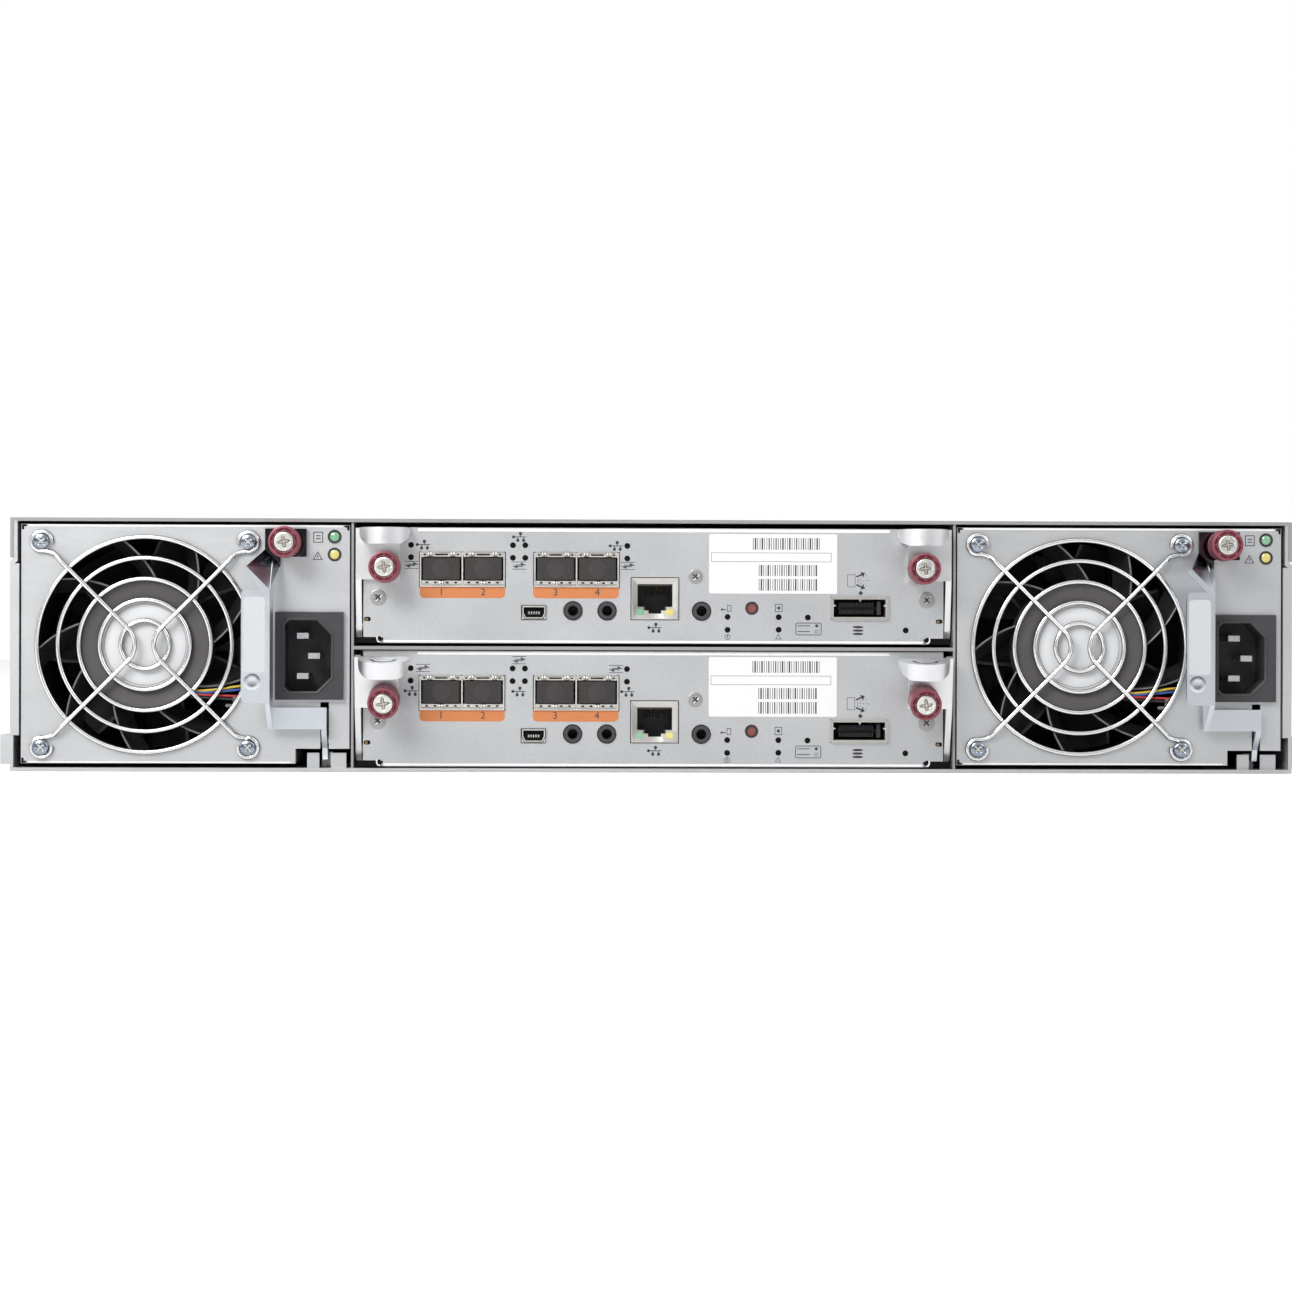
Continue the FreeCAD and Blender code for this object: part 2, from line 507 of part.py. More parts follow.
class PowerModule:
    """Places shared by the pieces of one power module; both modules are built the same way round."""

    def __init__(self, side, name):
        self.name = name
        self.centre = side * SZ.power_centre
        self.left = self.centre - SZ.power_width / 2
        self.right = self.centre + SZ.power_width / 2
        self.foot = SZ.power_foot
        self.head = SZ.power_foot + SZ.power_height
        self.back = DECK - SZ.power_back_gap
        self.depth = self.back - POWER_FACE
        self.fan_x = self.centre + SZ.fan_side
        self.inlet_x = self.centre + SZ.inlet_side
        self.step_x = self.centre + SZ.step_side
        self.step_top = self.foot + SZ.step_rise
        self.lever = (self.centre + SZ.lever_side - SZ.lever_gauge / 2,
                      self.centre + SZ.lever_side + SZ.lever_gauge / 2)
        self.pivot_y = POWER_FACE + SZ.pivot_inset

    def outline(self, inset):
        """The case's stepped cross-section, drawn in by a sheet's thickness."""
        return [
            (self.left + inset, self.foot + inset), (self.step_x - inset, self.foot + inset),
            (self.step_x - inset, self.step_top + inset), (self.right - inset, self.step_top + inset),
            (self.right - inset, self.head - inset), (self.left + inset, self.head - inset),
        ]

    def case(self):
        """Stepped sheet box with its fan hole, inlet hole, lever slot, vents and card tongue."""
        n = f"{self.name}_case"
        g = SZ.power_gauge
        shell = pad(f"{n}_shell", "XZ_Plane", self.outline(Length.of(0)), self.depth, y=self.back)
        inside = pad(f"{n}_inside", "XZ_Plane", self.outline(g), self.depth - 2 * g, y=self.back - g)
        slot = (self.lever[0] - SZ.slot_side_gap, self.lever[1] + SZ.slot_side_gap)
        mouth = (POWER_FACE, POWER_FACE + g)
        holes = [
            rod(f"{n}_fan_hole", "y", SZ.face_hole_radius, g, self.fan_x, POWER_FACE, SZ.fan_height),
            block(f"{n}_inlet_hole",
                  (self.inlet_x - SZ.inlet_width / 2 + SZ.inlet_hole_gap,
                   self.inlet_x + SZ.inlet_width / 2 - SZ.inlet_hole_gap), mouth,
                  (SZ.inlet_height - SZ.inlet_tall / 2 + SZ.inlet_hole_gap,
                   SZ.inlet_height + SZ.inlet_tall / 2 - SZ.inlet_hole_gap)),
            block(f"{n}_lever_slot", slot, mouth, (self.step_top, SZ.slot_head)),
            block(f"{n}_nose_slot", slot, (POWER_FACE, self.pivot_y + SZ.nose_sweep),
                  (self.step_top, self.step_top + g)),
            rod(f"{n}_screw_hole", "y", SZ.shank_radius + SZ.shank_gap, g,
                self.centre + SZ.screw_side, POWER_FACE, SZ.screw_height),
        ]
        for column in range(VENT_COLUMNS):
            for row in range(VENT_ROWS):
                x = self.centre + (column - (VENT_COLUMNS - 1) / 2) * (SZ.case_vent_width + SZ.case_vent_gap)
                z = self.foot + SZ.case_vent_foot + row * SZ.case_vent_rise
                holes.append(block(f"{n}_vent_{column}_{row}",
                                   (x - SZ.case_vent_width / 2, x + SZ.case_vent_width / 2),
                                   (self.back - g, self.back), (z, z + SZ.case_vent_tall)))
        body = cut(f"{n}_open", shell, inside, *holes)
        cheeks = []
        for label, edge in (("left", self.lever[0] - SZ.cheek_gap - SZ.cheek_gauge),
                            ("right", self.lever[1] + SZ.cheek_gap)):
            cheeks.append(block(f"{n}_cheek_{label}", (edge, edge + SZ.cheek_gauge),
                                (POWER_FACE + g, self.pivot_y + SZ.cheek_half),
                                (self.step_top + g, SZ.pivot_height + SZ.cheek_half)))
        tongue = block(f"{n}_tongue", (self.centre - SZ.power_socket_width / 2 + SZ.tongue_side_gap,
                                       self.centre + SZ.power_socket_width / 2 - SZ.tongue_side_gap),
                       (self.back - g, DECK - SZ.socket_wall - SZ.tongue_gap),
                       (SZ.power_socket_height - SZ.card_gauge / 2,
                        SZ.power_socket_height + SZ.card_gauge / 2))
        solid = fuse(f"{n}_built", body, tongue, *cheeks)
        pin_hole = rod(f"{n}_pin_hole", "x", SZ.pivot_radius, self.pin_run(), self.pin_start(),
                       self.pivot_y, SZ.pivot_height)
        return cut(n, solid, pin_hole)

    def pin_start(self):
        return self.lever[0] - SZ.cheek_gap - SZ.cheek_gauge

    def pin_run(self):
        return SZ.lever_gauge + 2 * (SZ.cheek_gap + SZ.cheek_gauge)

    def handle_pin(self):
        return rod(f"{self.name}_handle_pin", "x", SZ.pivot_radius, self.pin_run(), self.pin_start(),
                   self.pivot_y, SZ.pivot_height)

    def fan_frame(self):
        """Square frame round the bore, with the motor hub and axle held by swept guide vanes."""
        n = f"{self.name}_fan_frame"
        front = POWER_FACE + SZ.power_gauge
        half = SZ.fan_size / 2
        square = block(f"{n}_square", (self.fan_x - half, self.fan_x + half), (front, front + SZ.fan_depth),
                       (SZ.fan_height - half, SZ.fan_height + half))
        bore = rod(f"{n}_bore", "y", SZ.fan_bore_radius, SZ.fan_depth, self.fan_x, front, SZ.fan_height)
        hub = rod(f"{n}_hub", "y", SZ.fan_hub_radius, SZ.hub_depth, self.fan_x, front, SZ.fan_height)
        axle = rod(f"{n}_axle", "y", SZ.fan_axle_radius, SZ.hub_depth + SZ.rotor_gap + SZ.axle_reach,
                   self.fan_x, front, SZ.fan_height)
        return fuse(n, cut(f"{n}_ring", square, bore), hub, axle, feature(f"{n}_vanes", self.vanes(front)))

    def vanes(self, front):
        """Thin straight struts that sweep from the hub to the bore."""
        inner = float(SZ.fan_hub_radius) - float(SZ.vane_root)
        outer = float(SZ.fan_bore_radius) + float(SZ.vane_root)
        gauge = float(SZ.vane_gauge)
        count = int(float(SZ.vane_count))
        made = []
        for index in range(count):
            corners = []
            for radius, turned, sign in ((inner, 0, -1), (outer, 1, -1), (outer, 1, 1), (inner, 0, 1)):
                turn = math.radians(index * 360 / count + turned * float(SZ.vane_turn))
                turn += sign * gauge / (2 * radius)
                corners.append(Vector(radius * math.cos(turn), 0, radius * math.sin(turn)))
            face = Part.Face(Part.makePolygon(corners + corners[:1]))
            made.append(face.extrude(Vector(0, float(SZ.vane_depth), 0)))
        shape = Part.makeCompound(made)
        shape.translate(Vector(float(self.fan_x), float(front), float(SZ.fan_height)))
        return shape

    def fan_rotor(self):
        """Cup that runs on the axle and carries twisted blades."""
        n = f"{self.name}_fan_rotor"
        front = POWER_FACE + SZ.power_gauge + SZ.hub_depth + SZ.rotor_gap
        cup = rod(f"{n}_cup", "y", SZ.rotor_hub_radius, SZ.rotor_depth, self.fan_x, front, SZ.fan_height)
        bore = rod(f"{n}_bore", "y", SZ.fan_axle_radius + SZ.axle_slack, SZ.axle_reach + SZ.axle_end_gap,
                   self.fan_x, front, SZ.fan_height)
        return cut(n, fuse(f"{n}_solid", cup, feature(f"{n}_blades", self.blades(front))), bore)

    def blades(self, front):
        """Flat blades set at one pitch angle, from inside the cup to the rotor's tip."""
        slope = math.radians(float(SZ.blade_angle))
        half_run = float(SZ.rotor_depth) / 2 - float(SZ.blade_margin)
        half = half_run / math.sin(slope)
        half_gauge = float(SZ.blade_gauge) / 2
        root = float(SZ.rotor_hub_radius) - float(SZ.blade_root)
        tip = float(SZ.rotor_radius)
        made = []
        for index in range(int(float(SZ.blade_count))):
            corners = []
            for along, across in ((-half, -half_gauge), (half, -half_gauge), (half, half_gauge),
                                  (-half, half_gauge)):
                side = along * math.cos(slope) - across * math.sin(slope)
                axial = along * math.sin(slope) + across * math.cos(slope)
                corners.append(Vector(side, axial, root))
            face = Part.Face(Part.makePolygon(corners + corners[:1]))
            blade = face.extrude(Vector(0, 0, tip - root))
            blade.rotate(Vector(), Vector(0, 1, 0), index * 360 / float(SZ.blade_count))
            made.append(blade)
        sleeve = Part.makeCylinder(tip, 4 * half_run, Vector(0, -2 * half_run, 0), Vector(0, 1, 0))
        shape = Part.makeCompound([blade.common(sleeve) for blade in made])
        middle = float(front) + float(SZ.rotor_depth) / 2
        shape.translate(Vector(float(self.fan_x), middle, float(SZ.fan_height)))
        return shape

    def fan_guard(self):
        """Guard: square-section rings on the face, and two bent spokes over them that end in screw eyes."""
        ring_y = POWER_FACE - SZ.wire_radius
        spoke_y = ring_y - 2 * SZ.wire_radius
        made = []
        for index in range(RING_COUNT):
            label = f"{self.name}_guard_ring_{index}"
            middle = SZ.ring_outer - index * SZ.ring_pitch
            rims = [rod(f"{label}_{edge}", "y", middle + sign * SZ.wire_radius, 2 * SZ.wire_radius,
                        self.fan_x, POWER_FACE - 2 * SZ.wire_radius, SZ.fan_height)
                    for edge, sign in (("rim", 1), ("bore", -1))]
            made.append(cut(label, *rims))
        for side in (-1, 1):
            shape = guard_spoke(side, float(ring_y), float(spoke_y))
            shape.translate(Vector(float(self.fan_x), 0, float(SZ.fan_height)))
            made.append(feature(f"{self.name}_guard_spoke_{side + 1}", shape))
        return group(f"{self.name}_fan_guard", *made)

    def inlet(self):
        """Mains inlet: flange on the face and a body behind it, with a keyed cavity."""
        n = f"{self.name}_inlet"
        half = SZ.inlet_width / 2
        tall = SZ.inlet_tall / 2
        trim = SZ.inlet_hole_gap
        flange = block(f"{n}_flange", (self.inlet_x - half, self.inlet_x + half),
                       (POWER_FACE - SZ.inlet_flange, POWER_FACE),
                       (SZ.inlet_height - tall, SZ.inlet_height + tall))
        body = block(f"{n}_body", (self.inlet_x - half + trim, self.inlet_x + half - trim),
                     (POWER_FACE, POWER_FACE + SZ.inlet_depth),
                     (SZ.inlet_height - tall + trim, SZ.inlet_height + tall - trim))
        w = SZ.inlet_mouth_width / 2
        t = SZ.inlet_mouth_tall / 2
        c = SZ.inlet_chamfer
        x = self.inlet_x + SZ.inlet_mouth_side
        z = SZ.inlet_height
        mouth = [(x - w, z - t), (x + w - c, z - t), (x + w, z - t + c), (x + w, z + t - c),
                 (x + w - c, z + t), (x - w, z + t)]
        floor = POWER_FACE - SZ.inlet_flange + SZ.inlet_mouth_depth
        cavity = pad(f"{n}_cavity", "XZ_Plane", mouth, SZ.inlet_mouth_depth, y=floor)
        return cut(n, fuse(f"{n}_solid", flange, body), cavity)

    def inlet_pins(self):
        """Two line blades and the longer earth blade."""
        n = f"{self.name}_inlet_pins"
        floor = POWER_FACE - SZ.inlet_flange + SZ.inlet_mouth_depth
        x = self.inlet_x + SZ.inlet_mouth_side
        blades = []
        for label, shift, rise, length in (("line", -1, 1, SZ.pin_length), ("neutral", -1, -1, SZ.pin_length),
                                           ("earth", 1, 0, SZ.pin_length + SZ.earth_extra)):
            middle = x + shift * SZ.pin_offset / 2
            z = SZ.inlet_height + rise * SZ.pin_pitch / 2
            blades.append(block(f"{n}_{label}", (middle - SZ.pin_wide / 2, middle + SZ.pin_wide / 2),
                                (floor - length, floor), (z - SZ.pin_thick / 2, z + SZ.pin_thick / 2)))
        return group(n, *blades)

    def handle(self):
        """Folded handle: screw pad, slanted ramp, raised grip with its side wall, strap and cam lever."""
        n = f"{self.name}_handle"
        g = SZ.handle_gauge
        face = POWER_FACE
        near = SZ.handle_gap
        c = self.centre
        plate = pad(f"{n}_pad", "XZ_Plane", [
            (c + SZ.pad_left, SZ.pad_head), (c + SZ.pad_left, SZ.neck_head),
            (c + SZ.neck_right, SZ.neck_foot), (c + SZ.neck_right, SZ.pad_foot),
            (c + SZ.pad_right, SZ.pad_foot), (c + SZ.pad_right, SZ.pad_head),
        ], g, y=face - near)
        hole = rod(f"{n}_hole", "y", SZ.shank_radius + SZ.shank_gap, g, c + SZ.screw_side,
                   face - near - g, SZ.screw_height)
        far = face - SZ.grip_stand
        lip = pad(f"{n}_lip", "XZ_Plane", [
            (c + SZ.lip_left, SZ.lip_head), (c + SZ.lip_left - SZ.lip_width, SZ.lip_head - SZ.lip_width),
            (c + SZ.grip_right - SZ.lip_width, SZ.lip_foot - SZ.lip_width), (c + SZ.grip_right, SZ.lip_foot),
        ], g, y=far + g)
        r = SZ.grip_corner
        left = c + SZ.grip_left
        run = (far, far + g)
        grip = fuse(f"{n}_grip",
                    block(f"{n}_grip_face", (left + r, c + SZ.grip_right), run, (SZ.grip_foot, SZ.grip_head)),
                    block(f"{n}_grip_edge", (left, left + r), run, (SZ.grip_foot + r, SZ.grip_head - r)),
                    rod(f"{n}_grip_low", "y", r, g, left + r, far, SZ.grip_foot + r),
                    rod(f"{n}_grip_high", "y", r, g, left + r, far, SZ.grip_head - r))
        strap_y = (face - SZ.strap_stand - g, face - SZ.strap_stand)
        wall = pad(f"{n}_wall", "YZ_Plane", [
            (strap_y[1], SZ.strap_foot), (strap_y[0], SZ.strap_foot), (far, SZ.grip_foot),
            (far, SZ.grip_head),
            (strap_y[1], SZ.grip_head + (SZ.grip_stand - SZ.strap_stand) * SZ.wall_slope),
        ], g, x=c + SZ.grip_right - g)
        strap = block(f"{n}_strap", (c + SZ.grip_right - g, self.lever[1]), strap_y,
                      (SZ.strap_foot, SZ.strap_head))
        y = self.pivot_y
        z = SZ.pivot_height
        b = SZ.lever_boss
        lever = pad(f"{n}_lever", "YZ_Plane", [
            (strap_y[0], SZ.strap_head), (strap_y[0], SZ.strap_foot), (y - b, z - b),
            (y - SZ.nose_half, SZ.nose_foot), (y + SZ.nose_half, SZ.nose_foot), (y + b, z - b),
            (y + b, z + b / 2), (y, z + b), (strap_y[1] + g, SZ.strap_head),
        ], SZ.lever_gauge, x=self.lever[0])
        bore = rod(f"{n}_bore", "x", SZ.pivot_radius + SZ.pivot_slack, SZ.lever_gauge, self.lever[0], y, z)
        return cut(n, fuse(f"{n}_folded", plate, feature(f"{n}_ramp", self.handle_ramp()), lip, grip, wall,
                           strap, lever), hole, bore)

    def handle_ramp(self):
        """Sheet that rises from the pad's slanted edge to the lip over the grip."""
        gauge = float(SZ.handle_gauge)
        centre = float(self.centre)
        sections = []
        for left, head, right, foot, y in (
                (SZ.pad_left, SZ.neck_head, SZ.neck_right, SZ.neck_foot, POWER_FACE - SZ.handle_gap),
                (SZ.lip_left, SZ.lip_head, SZ.grip_right, SZ.lip_foot,
                 POWER_FACE - SZ.grip_stand + SZ.handle_gauge)):
            ends = [Vector(centre + float(side), float(y), float(level))
                    for side, level in ((left, head), (right, foot))]
            front = [point - Vector(0, gauge, 0) for point in reversed(ends)]
            sections.append(Part.makePolygon(ends + front + ends[:1]))
        return Part.makeLoft(sections, True, True)

    def thumbscrew(self):
        base = POWER_FACE - SZ.handle_gap - SZ.handle_gauge
        return captive_screw(f"{self.name}_thumbscrew", self.centre + SZ.screw_side, base, POWER_FACE,
                             SZ.screw_height)


def guard_spoke(side, ring_y, spoke_y):
    """One bar about the fan's centre: corner eye, rise, diagonal, bend by the hub and back out."""
    wire = float(SZ.wire_radius)
    corner = float(SZ.fan_pitch) / 2
    loop = float(SZ.loop_radius)
    vertex = float(SZ.spoke_vertex)
    reach = float(SZ.ring_outer) + 5 * wire
    eye = corner * math.sqrt(2) - loop
    bend = vertex / (math.sqrt(2) - 1)

    def bar(level):
        """Run from the bend to the eye, drawn as its side view and turned onto the diagonal."""
        outline = [Vector(bend, spoke_y - wire, -wire), Vector(reach, spoke_y - wire, -wire),
                   Vector(eye, ring_y - wire, -wire), Vector(eye, ring_y + wire, -wire),
                   Vector(reach - wire, spoke_y + wire, -wire), Vector(bend, spoke_y + wire, -wire)]
        shape = Part.Face(Part.makePolygon(outline + outline[:1])).extrude(Vector(0, 0, 2 * wire))
        shape.rotate(Vector(), Vector(0, 1, 0), 180 * (side < 0) - 45 * level * side)
        return shape

    def arc(radius, turns):
        """Arc about the centre that both diagonals touch."""
        centre = vertex + bend
        return Part.Arc(*[Vector(side * (centre - radius * math.cos(math.radians(turn))), spoke_y - wire,
                                 radius * math.sin(math.radians(turn))) for turn in turns]).toShape()

    outer, inner = arc(bend + wire, (-45, 0, 45)), arc(bend - wire, (45, 0, -45))
    ends = [Part.makeLine(first.valueAt(first.LastParameter), second.valueAt(second.FirstParameter))
            for first, second in ((outer, inner), (inner, outer))]
    knee = Part.Face(Part.Wire([outer, ends[0], inner, ends[1]])).extrude(Vector(0, 2 * wire, 0))

    def disc(radius, level):
        """Disc about a guard screw."""
        return Part.makeCylinder(radius, 2 * wire, Vector(side * corner, ring_y - wire, level * corner),
                                 Vector(0, 1, 0))

    pieces = [bar(level) for level in (-1, 1)] + [disc(loop + wire, level) for level in (-1, 1)]
    return knee.fuse(pieces).cut([disc(loop - wire, level) for level in (-1, 1)])


def captive_screw(name, x, seat, face, z):
    """Captive thumbscrew, backed off: knob, raised cap and a shank that ends short of the face."""
    base = seat - SZ.shank_gap - SZ.screw_travel
    knob = rod(f"{name}_knob", "y", SZ.knob_radius, SZ.knob_length, x, base - SZ.knob_length, z)
    cap = rod(f"{name}_cap", "y", SZ.cap_radius, SZ.cap_rise, x, base - SZ.knob_length - SZ.cap_rise, z)
    shank = rod(f"{name}_shank", "y", SZ.shank_radius, face - SZ.shank_tip - base, x, base, z)
    return fuse(name, knob, cap, shank)


class Controller:
    """Places shared by the pieces of one controller; heights are counted from its underside."""

    def __init__(self, level, name):
        self.name = name
        self.level = level
        self.foot = SZ.unit_foot + SZ.unit_pitch * level
        self.card_top = self.foot + SZ.card_height + SZ.card_gauge
        self.back = DECK - SZ.unit_back_gap
        self.depth = self.back - UNIT_FACE
        self.half = SZ.unit_width / 2
        self.pivot_y = UNIT_FACE + SZ.latch_pivot_inset
        self.pivot_z = self.foot + SZ.latch_pivot_rise
        self.mezzanine = self.foot + SZ.cage_rise - SZ.cage_tall / 2 - SZ.mezzanine_gauge

    def rectangular_ports(self):
        """Name, centre, middle height, width, height and depth of each rectangular port."""
        return [
            ("cage_a", SZ.cage_centre_a, SZ.cage_rise, SZ.cage_pair_width, SZ.cage_tall, SZ.cage_run),
            ("cage_b", SZ.cage_centre_b, SZ.cage_rise, SZ.cage_pair_width, SZ.cage_tall, SZ.cage_run),
            ("net", SZ.net_centre, SZ.net_rise, SZ.net_width, SZ.net_tall, SZ.net_run),
            ("mini", SZ.mini_centre, SZ.mini_rise, SZ.mini_width, SZ.mini_tall, SZ.mini_run),
            ("link", SZ.link_centre, SZ.link_rise, SZ.link_width, SZ.link_tall, SZ.link_run),
        ]

    def jacks(self):
        return [("jack_a", SZ.jack_a), ("jack_b", SZ.jack_b), ("jack_c", SZ.jack_c)]

    def tray(self):
        """Open tray: floor, side walls, punched face, card posts and latch studs."""
        n = f"{self.name}_tray"
        g = SZ.unit_gauge
        face_run = (UNIT_FACE, UNIT_FACE + g)
        head = self.foot + SZ.unit_height
        section = [
            (-self.half, self.foot), (self.half, self.foot), (self.half, self.foot + SZ.tray_wall_head),
            (self.half - g, self.foot + SZ.tray_wall_head), (self.half - g, self.foot + g),
            (-self.half + g, self.foot + g), (-self.half + g, self.foot + SZ.tray_wall_head),
            (-self.half, self.foot + SZ.tray_wall_head),
        ]
        sheet_body = pad(f"{n}_sheet", "XZ_Plane", section, self.depth, y=self.back)
        face = block(f"{n}_face", (-self.half, self.half), face_run, (self.foot, head))
        gap = SZ.port_gap
        holes = []
        for label, x, rise, width, tall, _ in self.rectangular_ports():
            holes.append(block(f"{n}_{label}_hole", (x - width / 2 - gap, x + width / 2 + gap), face_run,
                               (self.foot + rise - tall / 2 - gap, self.foot + rise + tall / 2 + gap)))
        for label, x in self.jacks():
            holes.append(rod(f"{n}_{label}_hole", "y", SZ.jack_radius + gap, g, x, UNIT_FACE,
                             self.foot + SZ.jack_rise))
        holes.append(rod(f"{n}_button_hole", "y", SZ.button_radius + SZ.button_gap, g, SZ.button_centre,
                         UNIT_FACE, self.foot + SZ.button_rise))
        for side in (-1, 1):
            holes.append(rod(f"{n}_screw_hole_{side + 1}", "y", SZ.shank_radius + SZ.shank_gap, g,
                             side * SZ.latch_screw_side, UNIT_FACE, self.foot + SZ.latch_screw_rise))
            holes.append(block(f"{n}_corner_{side + 1}", mirrored(side, SZ.corner_side, self.half), face_run,
                               (self.foot, self.foot + SZ.corner_rise)))
        punched = cut(f"{n}_punched", fuse(f"{n}_folded", sheet_body, face), *holes)
        extras = []
        for x_side in (-1, 1):
            for y in (UNIT_FACE + SZ.post_inset, self.back - SZ.post_inset):
                extras.append(rod(f"{n}_post_{len(extras)}", "z", SZ.post_radius, SZ.card_height - g,
                                  x_side * (self.half - SZ.post_inset), y, self.foot + g))
            start = self.half if x_side > 0 else -self.half - SZ.stud_reach
            extras.append(rod(f"{n}_stud_{x_side + 1}", "x", SZ.latch_pivot_radius, SZ.stud_reach, start,
                              self.pivot_y, self.pivot_z))
        return fuse(n, punched, *extras)

    def card(self):
        """Main board on the posts with its chips, heat sink, raised port board and edge tongue."""
        n = f"{self.name}_card"
        low = self.foot + SZ.card_height
        half = self.half - SZ.unit_gauge - SZ.card_side_gap
        pieces = [block(f"{n}_board", (-half, half), (UNIT_FACE + SZ.card_inset, self.back),
                        (low, self.card_top))]
        edge = SZ.unit_socket_width / 2 - SZ.tongue_side_gap
        pieces.append(block(f"{n}_edge", (-edge, edge), (self.back, DECK - SZ.socket_wall - SZ.tongue_gap),
                            (low, self.card_top)))
        for index, share in enumerate((-0.5, 0, 0.5)):
            x = self.half * share
            y = UNIT_FACE + self.depth / 2
            pieces.append(block(f"{n}_chip_{index}", (x - SZ.chip_size / 2, x + SZ.chip_size / 2),
                                (y, y + SZ.chip_size), (self.card_top, self.card_top + SZ.chip_rise)))
        left = SZ.cage_centre_a - SZ.cage_pair_width / 2 - SZ.mezzanine_margin
        right = SZ.cage_centre_b + SZ.cage_pair_width / 2 + SZ.mezzanine_margin
        run = (UNIT_FACE + SZ.jack_run + SZ.card_inset, UNIT_FACE + SZ.mezzanine_run)
        pieces.append(block(f"{n}_mezzanine", (left, right), (UNIT_FACE + SZ.card_inset, run[1]),
                            (self.mezzanine, self.mezzanine + SZ.mezzanine_gauge)))
        for edge_x in (left, right - SZ.mezzanine_margin):
            pieces.append(block(f"{n}_riser_{len(pieces)}", (edge_x, edge_x + SZ.mezzanine_margin),
                                run, (self.card_top, self.mezzanine)))
        return fuse(n, *pieces)

    def port_shells(self):
        """Plated shells of the rectangular ports, each standing on its board."""
        n = f"{self.name}_port_shells"
        made = []
        for label, x, rise, width, tall, run in self.rectangular_ports():
            pair = label.startswith("cage")
            wall = {"net": SZ.net_wall, "mini": SZ.mini_wall, "link": SZ.link_wall}.get(label, SZ.cage_wall)
            start = UNIT_FACE - SZ.port_proud
            middle = self.foot + rise
            shell = block(f"{n}_{label}", (x - width / 2, x + width / 2), (start, start + run),
                          (middle - tall / 2, middle + tall / 2))
            bays = [(x - width / 2 + wall, x + width / 2 - wall)]
            if pair:
                bays = [(x - width / 2 + wall, x - wall / 2), (x + wall / 2, x + width / 2 - wall)]
            mouths = [block(f"{n}_{label}_mouth_{index}", span, (start, start + run - wall),
                            (middle - tall / 2 + wall, middle + tall / 2 - wall))
                      for index, span in enumerate(bays)]
            shell = cut(f"{n}_{label}_open", shell, *mouths)
            if not pair:
                foot = block(f"{n}_{label}_foot", (x - width / 2, x + width / 2),
                             (UNIT_FACE + SZ.card_inset, start + run), (self.card_top, middle - tall / 2))
                shell = fuse(f"{n}_{label}_seated", shell, foot)
            made.append(shell)
        return group(n, *made)

    def port_inserts(self):
        """Moulded pieces: jacks, the stepped network insert, the link tongue and the button's switch."""
        n = f"{self.name}_port_inserts"
        start = UNIT_FACE - SZ.jack_proud
        made = []
        for label, x in self.jacks():
            z = self.foot + SZ.jack_rise
            ring = rod(f"{n}_{label}_barrel", "y", SZ.jack_radius, SZ.jack_run, x, start, z)
            seat = block(f"{n}_{label}_seat", (x - SZ.jack_radius, x + SZ.jack_radius),
                         (UNIT_FACE + SZ.card_inset, start + SZ.jack_run), (self.card_top, z))
            bore = rod(f"{n}_{label}_bore", "y", SZ.jack_bore, SZ.jack_run - SZ.jack_bore, x, start, z)
            made.append(cut(f"{n}_{label}", fuse(f"{n}_{label}_solid", ring, seat), bore))
        x = SZ.net_centre
        z = self.foot + SZ.net_rise
        half = SZ.net_width / 2 - SZ.net_wall
        tall = SZ.net_tall / 2 - SZ.net_wall
        body = block(f"{n}_net_body", (x - half, x + half),
                     (UNIT_FACE, UNIT_FACE - SZ.port_proud + SZ.net_run - SZ.net_wall), (z - tall, z + tall))
        steps = []
        for label, width, low in (("mouth", SZ.net_mouth_width, SZ.net_mouth_foot),
                                  ("key", SZ.net_key_width, SZ.net_key_foot),
                                  ("notch", SZ.net_notch_width, SZ.net_notch_foot)):
            steps.append(block(f"{n}_net_{label}", (x - width / 2, x + width / 2),
                               (UNIT_FACE, UNIT_FACE + SZ.net_mouth_run),
                               (self.foot + low, self.foot + SZ.net_mouth_head)))
        made.append(cut(f"{n}_net", body, *steps))
        x = SZ.link_centre
        z = self.foot + SZ.link_rise
        half = SZ.link_width / 2 - SZ.link_wall
        tall = SZ.link_tall / 2 - SZ.link_wall
        back = UNIT_FACE - SZ.port_proud + SZ.link_run - SZ.link_wall
        heel = block(f"{n}_link_heel", (x - half, x + half), (back - SZ.insert_run, back),
                     (z - tall, z + tall))
        tongue = block(f"{n}_link_tongue", (x - half + SZ.tongue_margin, x + half - SZ.tongue_margin),
                       (back - SZ.insert_run - SZ.tongue_run, back - SZ.insert_run),
                       (z - SZ.tongue_tall / 2, z + SZ.tongue_tall / 2))
        made.append(fuse(f"{n}_link", heel, tongue))
        x = SZ.button_centre
        z = self.foot + SZ.button_rise
        switch = block(f"{n}_switch_body", (x - SZ.switch_half, x + SZ.switch_half),
                       (UNIT_FACE + SZ.card_inset, UNIT_FACE + SZ.card_inset + SZ.switch_run),
                       (self.card_top, z + SZ.switch_half))
        bottom = SZ.button_sink + SZ.button_run + SZ.button_travel + SZ.button_end_gap
        well = rod(f"{n}_switch_well", "y", SZ.button_radius + SZ.button_fit, bottom - SZ.card_inset, x,
                   UNIT_FACE + SZ.card_inset, z)
        made.append(cut(f"{n}_switch", switch, well))
        return group(n, *made)

